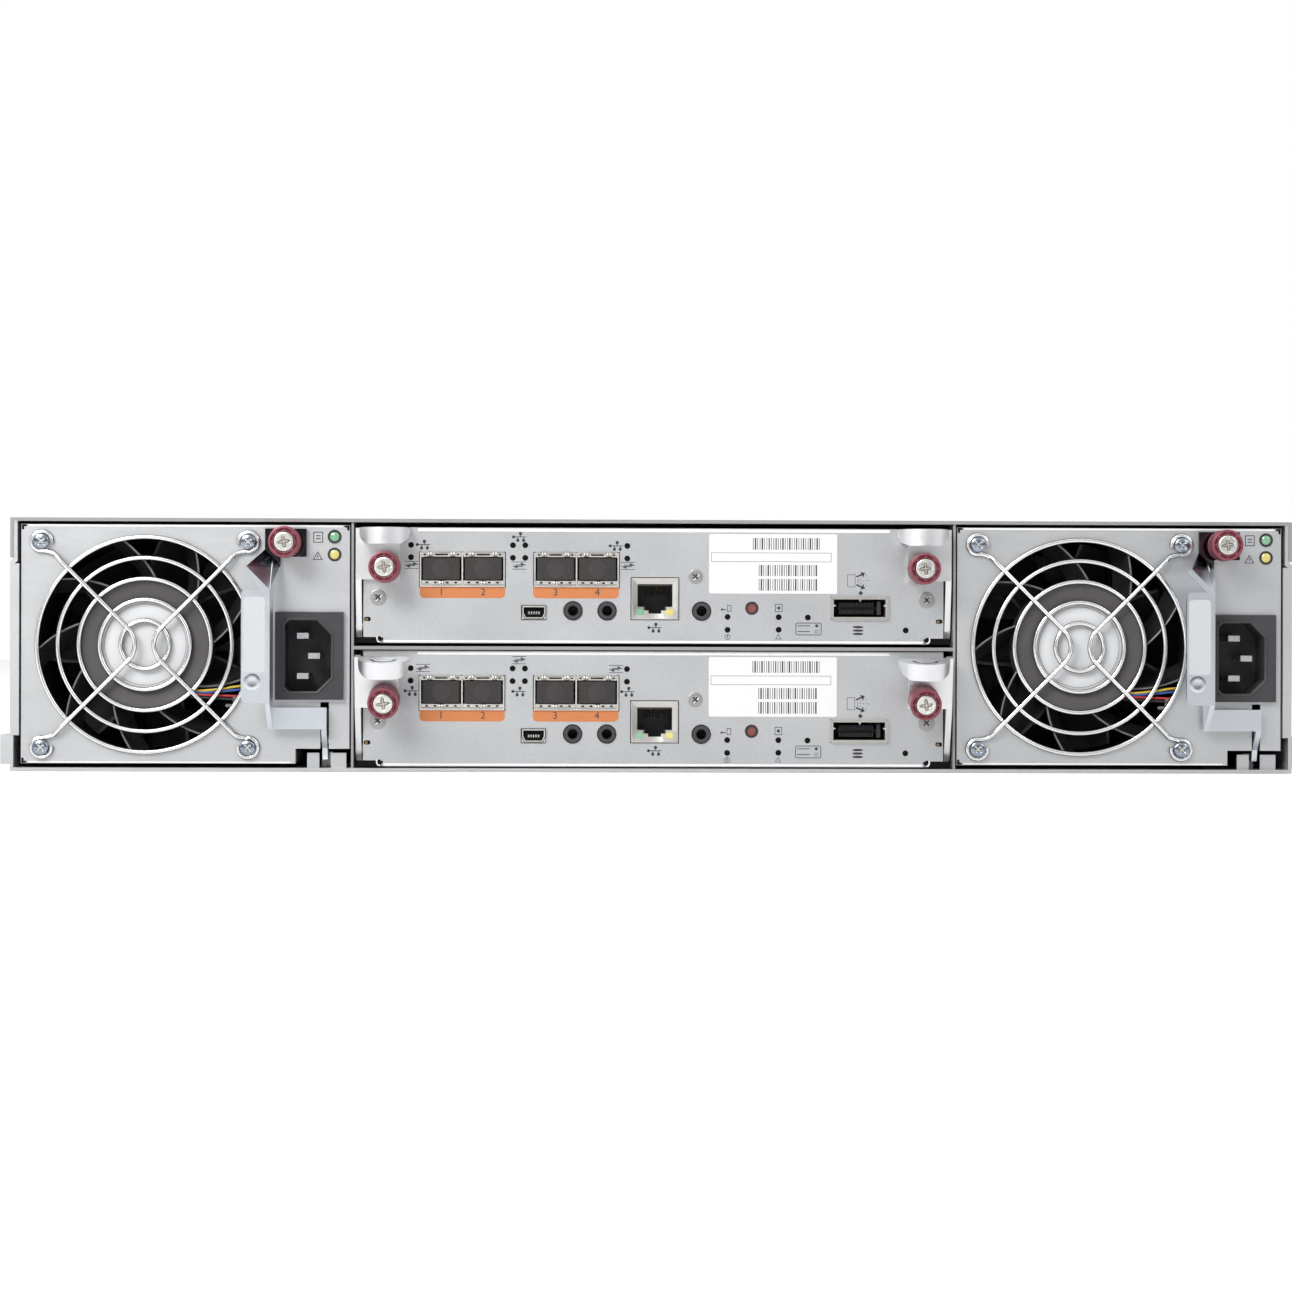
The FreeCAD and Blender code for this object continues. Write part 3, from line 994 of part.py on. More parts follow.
    def port_plugs(self):
        """Dust plugs that lie in the four cage bays."""
        n = f"{self.name}_port_plugs"
        floor = self.foot + SZ.cage_rise - SZ.cage_tall / 2 + SZ.cage_wall
        start = UNIT_FACE - SZ.plug_proud
        made = []
        for label, centre in (("a", SZ.cage_centre_a), ("b", SZ.cage_centre_b)):
            for side in (-1, 1):
                middle = centre + side * (SZ.cage_pair_width - SZ.cage_wall) / 4
                made.append(block(f"{n}_{label}_{side + 1}",
                                  (middle - SZ.plug_width / 2, middle + SZ.plug_width / 2),
                                  (start, start + SZ.plug_run), (floor, floor + SZ.plug_tall)))
        return group(n, *made)

    def button(self):
        return rod(f"{self.name}_button", "y", SZ.button_radius, SZ.button_run, SZ.button_centre,
                   UNIT_FACE + SZ.button_sink, self.foot + SZ.button_rise)

    def hinged(self, thing):
        """Set a piece drawn about the latch pivot in place; the lower latches stand ajar."""
        place(thing, 0, self.pivot_y, self.pivot_z)
        thing.Placement = Placement(thing.Placement.Base, Rotation(Vector(1, 0, 0), 1))
        bind(thing, ".Placement.Rotation.Angle", SZ.latch_rest_angle * (1 - self.level))
        return thing

    def latch(self, side, name):
        """Cam latch drawn about its pivot: screw plate, finger scoop and side arm with a nose."""
        face = -SZ.latch_pivot_inset
        g = SZ.latch_gauge
        back = face - SZ.latch_gap
        front = back - g
        head = SZ.latch_head - SZ.latch_pivot_rise
        low = SZ.latch_foot - SZ.latch_pivot_rise
        arm_in = self.half + SZ.latch_side_gap
        arm_out = arm_in + SZ.latch_side_gauge
        plate = block(f"{name}_plate", mirrored(side, SZ.latch_inner, arm_out), (front, back), (low, head))
        b = SZ.latch_boss
        nose = SZ.latch_nose_half
        arm = pad(f"{name}_arm", "YZ_Plane", [
            (front, head), (front, low), (-b, -b / 2), (-nose, -SZ.latch_nose_drop),
            (nose, -SZ.latch_nose_drop),
            (b, 0), (b, b), (front + SZ.latch_back, low + b), (front + SZ.latch_back, head),
        ], SZ.latch_side_gauge, x=mirrored(side, arm_in, arm_out)[0])
        x = side * SZ.scoop_centre
        rim_foot = head - SZ.scoop_drop
        round_y = front - SZ.scoop_reach + SZ.scoop_half
        shell = fuse(f"{name}_scoop_solid",
                     rod(f"{name}_scoop_round", "z", SZ.scoop_half, SZ.scoop_drop, x, round_y, rim_foot),
                     block(f"{name}_scoop_root", (x - SZ.scoop_half, x + SZ.scoop_half), (round_y, back),
                           (rim_foot, head)))
        t = SZ.scoop_gauge
        hollow = fuse(f"{name}_scoop_inside",
                      rod(f"{name}_inside_round", "z", SZ.scoop_half - t, SZ.scoop_drop - t, x, round_y,
                           rim_foot),
                      block(f"{name}_inside_root", (x - SZ.scoop_half + t, x + SZ.scoop_half - t),
                            (round_y, front), (rim_foot, head - t)))
        behind = block(f"{name}_scoop_trim", (x - SZ.scoop_half, x + SZ.scoop_half),
                       (back, back + 2 * SZ.scoop_half), (rim_foot, head))
        scoop = cut(f"{name}_scoop", shell, hollow, behind,
                    *self.scoop_corners(name, x, front, back, rim_foot))
        hole = rod(f"{name}_hole", "y", SZ.shank_radius + SZ.shank_gap, g, side * SZ.latch_screw_side, front,
                   SZ.latch_screw_rise - SZ.latch_pivot_rise)
        bore = rod(f"{name}_bore", "x", SZ.latch_pivot_radius + SZ.pivot_slack, SZ.latch_side_gauge,
                   mirrored(side, arm_in, arm_out)[0], 0, 0)
        return self.hinged(cut(name, fuse(f"{name}_folded", plate, arm, scoop), hole, bore))

    def scoop_corners(self, name, x, front, back, foot):
        """Tools that round the two lower corners of a scoop's rim, as seen from the front."""
        r = SZ.scoop_corner
        tip = front - SZ.scoop_reach
        tools = []
        for sign, edge in ((-1, "near"), (1, "far")):
            inner = x + sign * (SZ.scoop_half - r)
            outer = x + sign * SZ.scoop_half
            span = (inner, outer) if sign > 0 else (outer, inner)
            corner = block(f"{name}_{edge}_corner", span, (tip, back), (foot, foot + r))
            core = rod(f"{name}_{edge}_core", "y", r, SZ.scoop_reach + SZ.latch_gauge, inner, tip, foot + r)
            tools.append(cut(f"{name}_{edge}_trim", corner, core))
        return tools

    def latch_screw(self, side, name):
        seat = -SZ.latch_pivot_inset - SZ.latch_gap - SZ.latch_gauge
        return self.hinged(captive_screw(name, side * SZ.latch_screw_side, seat, -SZ.latch_pivot_inset,
                                         SZ.latch_screw_rise - SZ.latch_pivot_rise))


def build():
    """Every sub-part, in the order of its file name's group."""
    parts = [
        base_tray(), top_cover(), partition(-1, "partition_left"), partition(1, "partition_right"),
        controller_shelf(), midplane_board(), midplane_sockets(), drive_cage(), rack_ears(), rail_stops(),
    ]
    for column in range(BAY_COLUMNS):
        for row in range(BAY_ROWS):
            parts.append(bay_blank(column, row, f"bay_blank_{column + 1}{row + 1}"))
    for side, name in ((-1, "power_left"), (1, "power_right")):
        module = PowerModule(side, name)
        parts += [
            module.case(), module.fan_frame(), module.fan_rotor(), module.fan_guard(), module.inlet(),
            module.inlet_pins(), module.handle(), module.handle_pin(), module.thumbscrew(),
        ]
    for level, name in ((0, "controller_lower"), (1, "controller_upper")):
        unit = Controller(level, name)
        parts += [
            unit.tray(), unit.card(), unit.port_shells(), unit.port_inserts(), unit.port_plugs(),
            unit.button(),
        ]
        for side, label in ((-1, "left"), (1, "right")):
            parts.append(unit.latch(side, f"{name}_latch_{label}"))
            parts.append(unit.latch_screw(side, f"{name}_screw_{label}"))
    return parts


def check_and_write(parts):
    """Stop on any failed object or empty shape, then write one STEP file per sub-part."""
    for thing in doc.Objects:
        if {"Invalid", "Error"} & set(thing.State):
            raise RuntimeError(f"{thing.Label} failed: {thing.State}")
    for thing in parts:
        if thing.Shape.isNull() or not thing.Shape.isValid():
            raise RuntimeError(f"{thing.Label} has no valid shape")
    os.makedirs("parts", exist_ok=True)
    for thing in parts:
        thing.Shape.exportStep(f"parts/{thing.Label}.step")


SUB_PARTS = build()
doc.recompute()
check_and_write(SUB_PARTS)
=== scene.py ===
"""Looks of the two-unit disk shelf enclosure.

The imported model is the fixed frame: +X right and +Z up for someone facing the module end, which
looks towards -Y. Lengths are in metres. Each sub-assembly is a class, each finish a small dataclass.
"""
import logging
import math
from dataclasses import dataclass, field
from enum import Enum
from typing import Callable, Sequence

import bmesh
import bpy
import numpy as np
from mathutils import Matrix, Vector


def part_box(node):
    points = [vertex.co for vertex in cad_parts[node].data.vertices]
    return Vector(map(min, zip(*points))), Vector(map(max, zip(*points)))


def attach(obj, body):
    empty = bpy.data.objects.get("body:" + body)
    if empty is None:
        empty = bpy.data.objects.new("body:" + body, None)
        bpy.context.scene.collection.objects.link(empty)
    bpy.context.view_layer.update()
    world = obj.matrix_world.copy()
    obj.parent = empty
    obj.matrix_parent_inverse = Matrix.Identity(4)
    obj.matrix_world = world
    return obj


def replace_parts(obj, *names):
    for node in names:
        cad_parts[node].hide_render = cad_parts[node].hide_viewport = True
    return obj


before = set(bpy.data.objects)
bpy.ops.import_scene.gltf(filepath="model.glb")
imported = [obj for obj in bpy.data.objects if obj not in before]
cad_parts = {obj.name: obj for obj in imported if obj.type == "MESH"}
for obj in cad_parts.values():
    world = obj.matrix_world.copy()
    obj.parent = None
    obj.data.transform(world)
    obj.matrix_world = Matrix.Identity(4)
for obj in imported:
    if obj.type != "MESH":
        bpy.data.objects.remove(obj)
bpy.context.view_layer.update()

LOG = logging.getLogger("disk_shelf")
MM = 0.001
BACK = -0.05  # how far a thin mark reaches behind its face, in millimetres
Grid = np.ndarray
Pair = tuple[float, float]
Colour = tuple[float, float, float]


# ---------------------------------------------------------------- shader kit


@dataclass(frozen=True)
class Wire:
    """One output in a node tree, with arithmetic that adds Math nodes."""

    tree: "Tree"
    socket: bpy.types.NodeSocket

    def maths(self, operation: str, *values: "Wire | float") -> "Wire":
        """Run one Math operation.

        Args:
            operation: the Math node's operation.
            values: its operands in order.

        Returns:
            The node's value.
        """
        return self.tree.node("ShaderNodeMath", {"operation": operation}, dict(enumerate(values)))

    def __add__(self, other: "Wire | float") -> "Wire":
        """Sum."""
        return self.maths("ADD", self, other)

    def __mul__(self, other: "Wire | float") -> "Wire":
        """Product."""
        return self.maths("MULTIPLY", self, other)

    def __sub__(self, other: "Wire | float") -> "Wire":
        """Difference."""
        return self.maths("SUBTRACT", self, other)

    def __rsub__(self, other: float) -> "Wire":
        """Difference from a number."""
        return self.maths("SUBTRACT", other, self)

    def __gt__(self, other: float) -> "Wire":
        """One where this is above a number, else zero."""
        return self.maths("GREATER_THAN", self, other)

    def clamped(self, low: float, high: float) -> "Wire":
        """Keep the value between two numbers."""
        return self.maths("MINIMUM", self.maths("MAXIMUM", self, low), high)


class Tree:
    """The node tree of a material or world, with one node-making method."""

    def __init__(self, name: str, owner: bpy.types.World | None = None) -> None:
        """Start an empty tree.

        Args:
            name: the new material's name.
            owner: the world that has the tree, where it isn't a material's.
        """
        self.owner = owner or bpy.data.materials.new(name)
        self.owner.use_nodes = True
        self.links = self.owner.node_tree.links
        self.nodes = self.owner.node_tree.nodes
        self.nodes.clear()

    def node(self, kind: str, settings: dict | None = None, inputs: dict | None = None,
             output: int | str = 0) -> Wire:
        """Add a node, set it up and feed its sockets.

        Args:
            kind: the node's type.
            settings: its own properties.
            inputs: socket name or number to a Wire or a value.
            output: which output to return.

        Returns:
            The chosen output.
        """
        made = self.nodes.new(kind)
        for key, value in (settings or {}).items():
            setattr(made, key, value)
        for key, value in (inputs or {}).items():
            if isinstance(value, Wire):
                self.links.new(value.socket, made.inputs[key])
            else:
                made.inputs[key].default_value = value
        return Wire(self, made.outputs[output])

    def place(self, stretch: Sequence[float] = (1.0, 1.0, 1.0)) -> Wire:
        """The piece's own coordinates in millimetres, stretched per axis.

        Args:
            stretch: factors along X, Y and Z.

        Returns:
            A vector.
        """
        raw = self.node("ShaderNodeTexCoord", output="Object")
        factors = tuple(1000.0 * value for value in stretch)
        return self.node("ShaderNodeVectorMath", {"operation": "MULTIPLY"}, {0: raw, 1: factors})

    def axis(self, source: str, name: str) -> Wire:
        """One axis of a texture coordinate."""
        return self.node("ShaderNodeSeparateXYZ", None,
                         {"Vector": self.node("ShaderNodeTexCoord", output=source)}, name)

    def noise(self, scale: float, detail: float = 3.0, roughness: float = 0.5,
              stretch: Sequence[float] = (1.0, 1.0, 1.0)) -> Wire:
        """Noise from 0 to 1 whose scale counts cells per millimetre.

        Args:
            scale: cells per millimetre.
            detail: octaves.
            roughness: weight of the finer octaves.
            stretch: factors along the axes.

        Returns:
            The noise's value.
        """
        return self.node("ShaderNodeTexNoise", {"noise_dimensions": "3D"},
                         {"Vector": self.place(stretch), "Scale": scale, "Detail": detail,
                          "Roughness": roughness}, "Fac")

    def mix(self, factor: Wire, first: Colour | Wire, second: Colour | Wire) -> Wire:
        """Blend two colours by a value.

        Args:
            factor: 0 gives the first colour and 1 the second.
            first: a colour or a wire of one.
            second: a colour or a wire of one.

        Returns:
            The blended colour.
        """
        ends = {name: value if isinstance(value, Wire) else (*value, 1.0)
                for name, value in (("A", first), ("B", second))}
        return self.node("ShaderNodeMix", {"data_type": "RGBA"}, {"Factor": factor, **ends}, 2)

    def bump(self, height: Wire, distance: float, strength: float = 1.0) -> Wire:
        """Turn a height into a normal.

        Args:
            height: the height's value.
            distance: how tall a height of 1 is, in metres.
            strength: how much of the bump shows.

        Returns:
            A normal.
        """
        return self.node("ShaderNodeBump", None,
                         {"Height": height, "Distance": distance, "Strength": strength})

    def surface(self, **sockets: object) -> bpy.types.Material:
        """Finish the material with one Principled shader.

        Args:
            sockets: socket names, with underscores for spaces, to values or Wires.

        Returns:
            The finished material.
        """
        named = {key.replace("_", " "): value for key, value in sockets.items()}
        self.finish(self.node("ShaderNodeBsdfPrincipled", None, named), "Material")
        return self.owner

    def finish(self, shader: Wire, kind: str) -> None:
        """Send a shader to the tree's output."""
        self.links.new(shader.socket, self.nodes.new(f"ShaderNodeOutput{kind}").inputs["Surface"])


# ------------------------------------------------------------------ finishes


@dataclass(frozen=True)
class ZincSheet:
    """Zinc-plated sheet: rolled grain along X, a faint spangle and worn patches."""

    name: str
    light: Colour = (0.70, 0.71, 0.715)
    dark: Colour = (0.56, 0.57, 0.58)
    sheen_roughness: float = 0.40
    grain: Sequence[float] = (0.05, 1.0, 1.0)
    metal: float = 0.82

    def build(self) -> bpy.types.Material:
        """Make the material."""
        tree = Tree(self.name)
        grain = tree.noise(2.4, 4.0, 0.6, self.grain)
        cloud = tree.noise(0.035, 3.0, 0.55)
        spangle = tree.noise(0.9, 1.0, 0.4)
        tone = (grain * 0.45 + cloud * 0.35 + spangle * 0.2).clamped(0.0, 1.0)
        rough = grain * 0.16 + cloud * 0.10 + (self.sheen_roughness - 0.13)
        return tree.surface(Base_Color=tree.mix(tone, self.dark, self.light), Metallic=self.metal, Roughness=rough,
                            Normal=tree.bump(grain, 0.00002, 0.5))


@dataclass(frozen=True)
class BrightPlate:
    """Bright plated metal with a soft mirror and slight clouding."""

    name: str
    light: Colour = (0.86, 0.88, 0.91)
    dark: Colour = (0.66, 0.70, 0.76)
    gloss: float = 0.20

    def build(self) -> bpy.types.Material:
        """Make the material."""
        tree = Tree(self.name)
        cloud = tree.noise(0.18, 3.0, 0.55)
        pits = tree.noise(1.6, 2.0)
        return tree.surface(Base_Color=tree.mix(cloud, self.dark, self.light), Metallic=1.0,
                            Roughness=cloud * 0.12 + pits * 0.08 + (self.gloss - 0.08),
                            Normal=tree.bump(pits, 0.00003, 0.4))


@dataclass(frozen=True)
class GuardWire:
    """Chromed wire of the fan guards: bright where it faces outwards, with painted shade and reflection along its
    flanks.
    """

    name: str
    light: Colour = (0.95, 0.945, 0.94)
    painted_flank_shade: Colour = (0.10, 0.098, 0.095)
    limit: float = 0.66

    def build(self) -> bpy.types.Material:
        """Make the material; the painted shade and reflection begin where the normal's outward share falls below the
        limit.
        """
        tree = Tree(self.name)
        cloud = tree.noise(0.5, 2.0)
        outward = tree.axis("Normal", "Y") * -1.0
        # dark flank colour by the normal's direction: painted shade and reflection
        painted_flank_shade = ((self.limit - outward) * 6.0 + (cloud - 0.5) * 0.8).clamped(0.0, 1.0)
        return tree.surface(Base_Color=tree.mix(painted_flank_shade, self.light, self.painted_flank_shade), Metallic=1.0,
                            Roughness=cloud * 0.12 + 0.18)


@dataclass(frozen=True)
class BailPlate:
    """Bright zinc of the bail handles: a polished head darkened with painted shade and reflection, that passes into a
    satin, paler grip.
    """

    name: str
    polished: Colour = (0.12, 0.125, 0.135)
    satin: Colour = (0.80, 0.84, 0.89)
    border: float = 0.0705

    def build(self) -> bpy.types.Material:
        """Make the material; the head, with its painted shade, begins at a height on the object."""
        tree = Tree(self.name)
        cloud = tree.noise(0.18, 3.0, 0.55)
        pits = tree.noise(1.6, 2.0)
        height = tree.axis("Object", "Z")
        # the head's dark colour is painted shade and reflection; its lower roughness is a real polish
        head = ((height - self.border) * 400.0 + (cloud - 0.5) * 0.6).clamped(0.0, 1.0)
        return tree.surface(Base_Color=tree.mix(head, self.satin, self.polished), Metallic=1.0,
                            Roughness=(1.0 - head) * 0.2 + cloud * 0.1 + 0.06,
                            Normal=tree.bump(pits, 0.00001, 0.3))


@dataclass(frozen=True)
class Moulded:
    """Moulded plastic: fine texture, slight tone change and rubbed gloss."""

    name: str
    colour: Colour
    rubbed: Colour
    gloss: float = 0.42
    texture: float = 0.00002
    metal: float = 0.0
    shine: float = 0.5

    def build(self) -> bpy.types.Material:
        """Make the material."""
        tree = Tree(self.name)
        fine = tree.noise(6.0, 2.0)
        wide = tree.noise(0.12, 3.0, 0.6)
        return tree.surface(Base_Color=tree.mix(wide, self.colour, self.rubbed), Metallic=self.metal,
                            Roughness=fine * 0.12 + wide * 0.08 + (self.gloss - 0.1),
                            Normal=tree.bump(fine, self.texture, 0.6), Specular_IOR_Level=self.shine)


@dataclass(frozen=True)
class Printed:
    """Printed or painted film: nearly even colour with a faint paper tooth."""

    name: str
    colour: Colour
    gloss: float = 0.5

    def build(self) -> bpy.types.Material:
        """Make the material."""
        tree = Tree(self.name)
        tooth = tree.noise(3.0, 2.0)
        darker = tuple(0.93 * value for value in self.colour)
        return tree.surface(Base_Color=tree.mix(tooth, darker, self.colour), Roughness=tooth * 0.1 + self.gloss)


@dataclass(frozen=True)
class Lens:
    """Clear tinted lamp lens with a cloudy core."""

    name: str
    colour: Colour
    glow: float = 0.25

    def build(self) -> bpy.types.Material:
        """Make the material."""
        tree = Tree(self.name)
        cloud = tree.noise(1.2, 2.0)
        pale = tuple(0.18 + 0.82 * value for value in self.colour)
        tint = tree.mix(cloud, self.colour, pale)
        return tree.surface(Base_Color=tint, Roughness=cloud * 0.1 + 0.08, Coat_Weight=1.0,
                            Emission_Color=tint, Emission_Strength=self.glow)


@dataclass(frozen=True)
class Board:
    """Solder-masked circuit board with a pattern of tracks; what stands above a tray's board is dark."""

    name: str = "circuit_board"
    tray: str = ""
    board_top: float = 0.0084

    def build(self) -> bpy.types.Material:
        """Make the material."""
        tree = Tree(self.name)
        chip = tree.axis("Object", "Z") > (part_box(self.tray)[0].z + self.board_top if self.tray else 1.0)
        cells = tree.node("ShaderNodeTexBrick", {"offset": 0.5},
                          {"Vector": tree.place(), "Scale": 0.35, "Mortar Size": 0.03,
                           "Color1": (0.0, 0.0, 0.0, 1.0), "Color2": (0.3, 0.3, 0.3, 1.0),
                           "Mortar": (1.0, 1.0, 1.0, 1.0)}, "Fac")
        tooth = tree.noise(1.0)
        mask = tree.mix(cells, (0.012, 0.10, 0.04), (0.04, 0.22, 0.09))
        return tree.surface(Base_Color=tree.mix(chip, mask, (0.022, 0.022, 0.024)),
                            Roughness=tooth * 0.15 + 0.28, Normal=tree.bump(cells, 0.00003, 0.6))


class Finish(Enum):
    """Every finish on the enclosure."""

    SHEET = ZincSheet("zinc_sheet")
    FACE = ZincSheet("module_face", (0.72, 0.73, 0.74), (0.46, 0.47, 0.48), 0.42, (0.5, 1.0, 1.0))
    BRIGHT = BrightPlate("bright_zinc")
    BAIL = BailPlate("bail_zinc")
    CHROME = GuardWire("chrome_wire")
    NICKEL = BrightPlate("nickel_shell", (0.90, 0.875, 0.83), (0.72, 0.695, 0.65), 0.36)
    STEEL = BrightPlate("screw_steel", (0.80, 0.81, 0.82), (0.55, 0.57, 0.60), 0.26)
    BRASS = BrightPlate("contact_brass", (0.85, 0.68, 0.36), (0.62, 0.45, 0.20), 0.25)
    DULL_BRASS = BrightPlate("dull_brass", (0.42, 0.28, 0.13), (0.25, 0.15, 0.07), 0.4)
    BLACK = Moulded("black_plastic", (0.018, 0.017, 0.019), (0.035, 0.033, 0.037), 0.46)
    FAN = Moulded("fan_plastic", (0.012, 0.012, 0.013), (0.03, 0.03, 0.032), 0.34)
    ROTOR = Moulded("rotor_plastic", (0.02, 0.02, 0.021), (0.045, 0.044, 0.046), 0.3)
    # pale grey: painted highlight on the vanes' front edges, and also the grey of the leads' clip
    EDGE = Moulded("vane_highlight_and_clip", (0.13, 0.125, 0.13), (0.22, 0.21, 0.215), 0.28)
    HUB = Moulded("fan_hub", (0.06, 0.055, 0.058), (0.09, 0.084, 0.088), 0.48, shine=0.4)
    INLET = Moulded("inlet_plastic", (0.034, 0.031, 0.034), (0.055, 0.051, 0.055), 0.5, shine=0.4)
    PLUG_RING = Moulded("plug_ring", (0.033, 0.030, 0.029), (0.048, 0.044, 0.043), 0.42, shine=0.4)
    PLUG = Moulded("plug_plastic", (0.026, 0.023, 0.022), (0.040, 0.036, 0.034), 0.5, shine=0.35)
    BLANK = Moulded("blank_plastic", (0.02, 0.02, 0.022), (0.04, 0.04, 0.043), 0.5)
    BURGUNDY = Moulded("burgundy_knob", (0.18, 0.036, 0.054), (0.26, 0.066, 0.086), 0.38, 0.00001, 0.2)
    # darker burgundy in the knob's pressed grooves: painted shade
    GROOVE_SHADE = Moulded("burgundy_groove_shade", (0.05, 0.006, 0.012), (0.07, 0.01, 0.018), 0.6, shine=0.2)
    # near-black cross in screw recesses and band round the mini socket: painted shade
    RECESS_SHADE = Moulded("painted_recess_shade", (0.03, 0.029, 0.028), (0.06, 0.056, 0.053), 0.5, 0.00001, 0.3)
    STRAW = Moulded("cap_recess", (0.40, 0.37, 0.30), (0.52, 0.49, 0.42), 0.35, 0.00001, 0.5)
    # near-white strips on bent edges and rolled hooks: painted highlight
    BEND = Printed("painted_bend_highlight", (0.84, 0.84, 0.84), 0.3)
    # blue-grey head colour: painted dark-blue reflection
    HEAD = BrightPlate("screw_head_reflection", (0.44, 0.49, 0.56), (0.28, 0.32, 0.38), 0.2)
    COVER = ZincSheet("cover_sheet", (0.36, 0.35, 0.34), (0.26, 0.255, 0.247), 0.55, metal=0.3)
    CAP = BrightPlate("knob_cap", (0.84, 0.83, 0.80), (0.70, 0.69, 0.66), 0.34)
    FILM = Printed("grip_film", (0.53, 0.545, 0.56), 0.35)
    BUTTON = Moulded("red_button", (0.19, 0.045, 0.045), (0.26, 0.075, 0.075), 0.42)
    DISC = Printed("label_disc", (0.66, 0.67, 0.68), 0.42)
    LATCH = BrightPlate("latch_plate", (0.93, 0.935, 0.94), (0.84, 0.85, 0.86), 0.36)
    GREY_SCREW = BrightPlate("grey_screw", (0.48, 0.475, 0.47), (0.38, 0.375, 0.37), 0.4)
    BEZEL = BrightPlate("socket_bezel", (0.70, 0.685, 0.645), (0.58, 0.565, 0.53), 0.34)
    # near-black fill of holes, slots, gaps and notches: painted shade
    HOLE_SHADE = Moulded("painted_hole_shade", (0.003, 0.003, 0.003), (0.007, 0.007, 0.007), 0.6, shine=0.08)
    BOARD = Board()
    CARD_LOWER = Board("lower_card", "controller_lower_tray")
    CARD_UPPER = Board("upper_card", "controller_upper_tray")
    ORANGE = Printed("orange_strip", (0.55, 0.185, 0.058))
    WHITE = Printed("white_label", (0.74, 0.74, 0.735))
    INK = Printed("dark_ink", (0.035, 0.035, 0.04), 0.6)
    GREEN_LENS = Lens("green_lens", (0.10, 0.33, 0.16), 0.04)
    YELLOW_LENS = Lens("yellow_lens", (0.60, 0.50, 0.08), 0.04)
    WIRE_RED = Printed("lead_red", (0.45, 0.03, 0.03))
    WIRE_YELLOW = Printed("lead_yellow", (0.65, 0.45, 0.04))
    WIRE_BLUE = Printed("lead_blue", (0.03, 0.09, 0.35))
    WIRE_BLACK = Printed("lead_black", (0.02, 0.02, 0.02))


class Paint:
    """Builds each finish once and hands it out."""

    made: dict[Finish, bpy.types.Material] = {}

    @classmethod
    def of(cls, finish: Finish) -> bpy.types.Material:
        """The material of a finish.

        Args:
            finish: which finish.

        Returns:
            Its material, made on first use.
        """
        if finish not in cls.made:
            cls.made[finish] = finish.value.build()
        return cls.made[finish]

    @classmethod
    def dress(cls, node: str, finish: Finish) -> None:
        """Give a CAD node a finish in every slot.

        Args:
            node: the node's name.
            finish: the finish it gets.
        """
        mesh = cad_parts[node].data
        mesh.materials.clear()
        mesh.materials.append(cls.of(finish))


# ------------------------------------------------------------------ surfaces


@dataclass(frozen=True)
class Seat:
    """A spot on a face that looks towards -Y, in millimetres, and its turn about X in degrees."""

    x: float
    y: float
    z: float
    turn: float = 0.0

    def set(self, local: Grid) -> Grid:
        """Carry (right, up, out) points onto the face.

        Each point is the spot plus right, up and out times its three numbers.

        Args:
            local: points in millimetres, last axis of length 3.

        Returns:
            Points in the part's own frame, in metres.
        """
        angle = math.radians(self.turn)
        axes = np.array(((1.0, 0.0, 0.0), (0.0, -math.sin(angle), math.cos(angle)),
                         (0.0, -math.cos(angle), -math.sin(angle))))
        return (np.array((self.x, self.y, self.z)) + local @ axes) * MM

    def moved(self, right: float = 0.0, up: float = 0.0, out: float = 0.0) -> "Seat":
        """A spot moved along the face and off it."""
        x, y, z = self.set(np.array((right, up, out))) / MM
        return Seat(float(x), float(y), float(z), self.turn)


def circle(radius: float, sides: int) -> Grid:
    """Points (r cos t, r sin t) at equal steps of t."""
    turn = np.linspace(0.0, 2.0 * math.pi, sides, endpoint=False)
    return np.stack((radius * np.cos(turn), radius * np.sin(turn)), axis=-1)


def turned(points: Grid, degrees: float) -> Grid:
    """Flat points turned about their origin."""
    angle = math.radians(degrees)
    return points @ np.array(((math.cos(angle), math.sin(angle)), (-math.sin(angle), math.cos(angle))))


def layers(*rows: tuple[Grid, float]) -> Grid:
    """Flat outlines stacked into one grid, each at its own height."""
    return np.stack([np.column_stack((flat, np.full(len(flat), level))) for flat, level in rows])


def pointed(rows: Grid) -> Grid:
    """The same grid with both end rows drawn to their middles, which closes it."""
    first, last = (np.repeat(rows[i].mean(axis=0)[None], rows.shape[1], axis=0)[None] for i in (0, -1))
    return np.concatenate((first, rows, last))


def rounded(width: float, height: float, corners: float | Sequence[float], steps: int = 5) -> Grid:
    """Rectangle outline whose corners are quarter circles.

    Each corner's points are its own centre plus radius times (cos t, sin t) over a quarter turn.

    Args:
        width: size along the first axis.
        height: size along the second axis.
        corners: one radius, or those of the top right, top left, bottom left and bottom right corners.
        steps: points on each corner.

    Returns:
        The outline, counter-clockwise.
    """
    signs = np.array(((1, 1), (-1, 1), (-1, -1), (1, -1)), float)
    radii = np.maximum(np.array(corners, float) * np.ones(4), 1e-3)[:, None]
    centres = signs * (np.array((width, height)) / 2.0 - radii)
    turn = np.arange(4)[:, None] * math.pi / 2.0 + np.linspace(0.0, math.pi / 2.0, steps)[None, :]
    arcs = np.stack((np.cos(turn), np.sin(turn)), axis=-1) * radii[:, None]
    return (centres[:, None] + arcs).reshape(-1, 2)


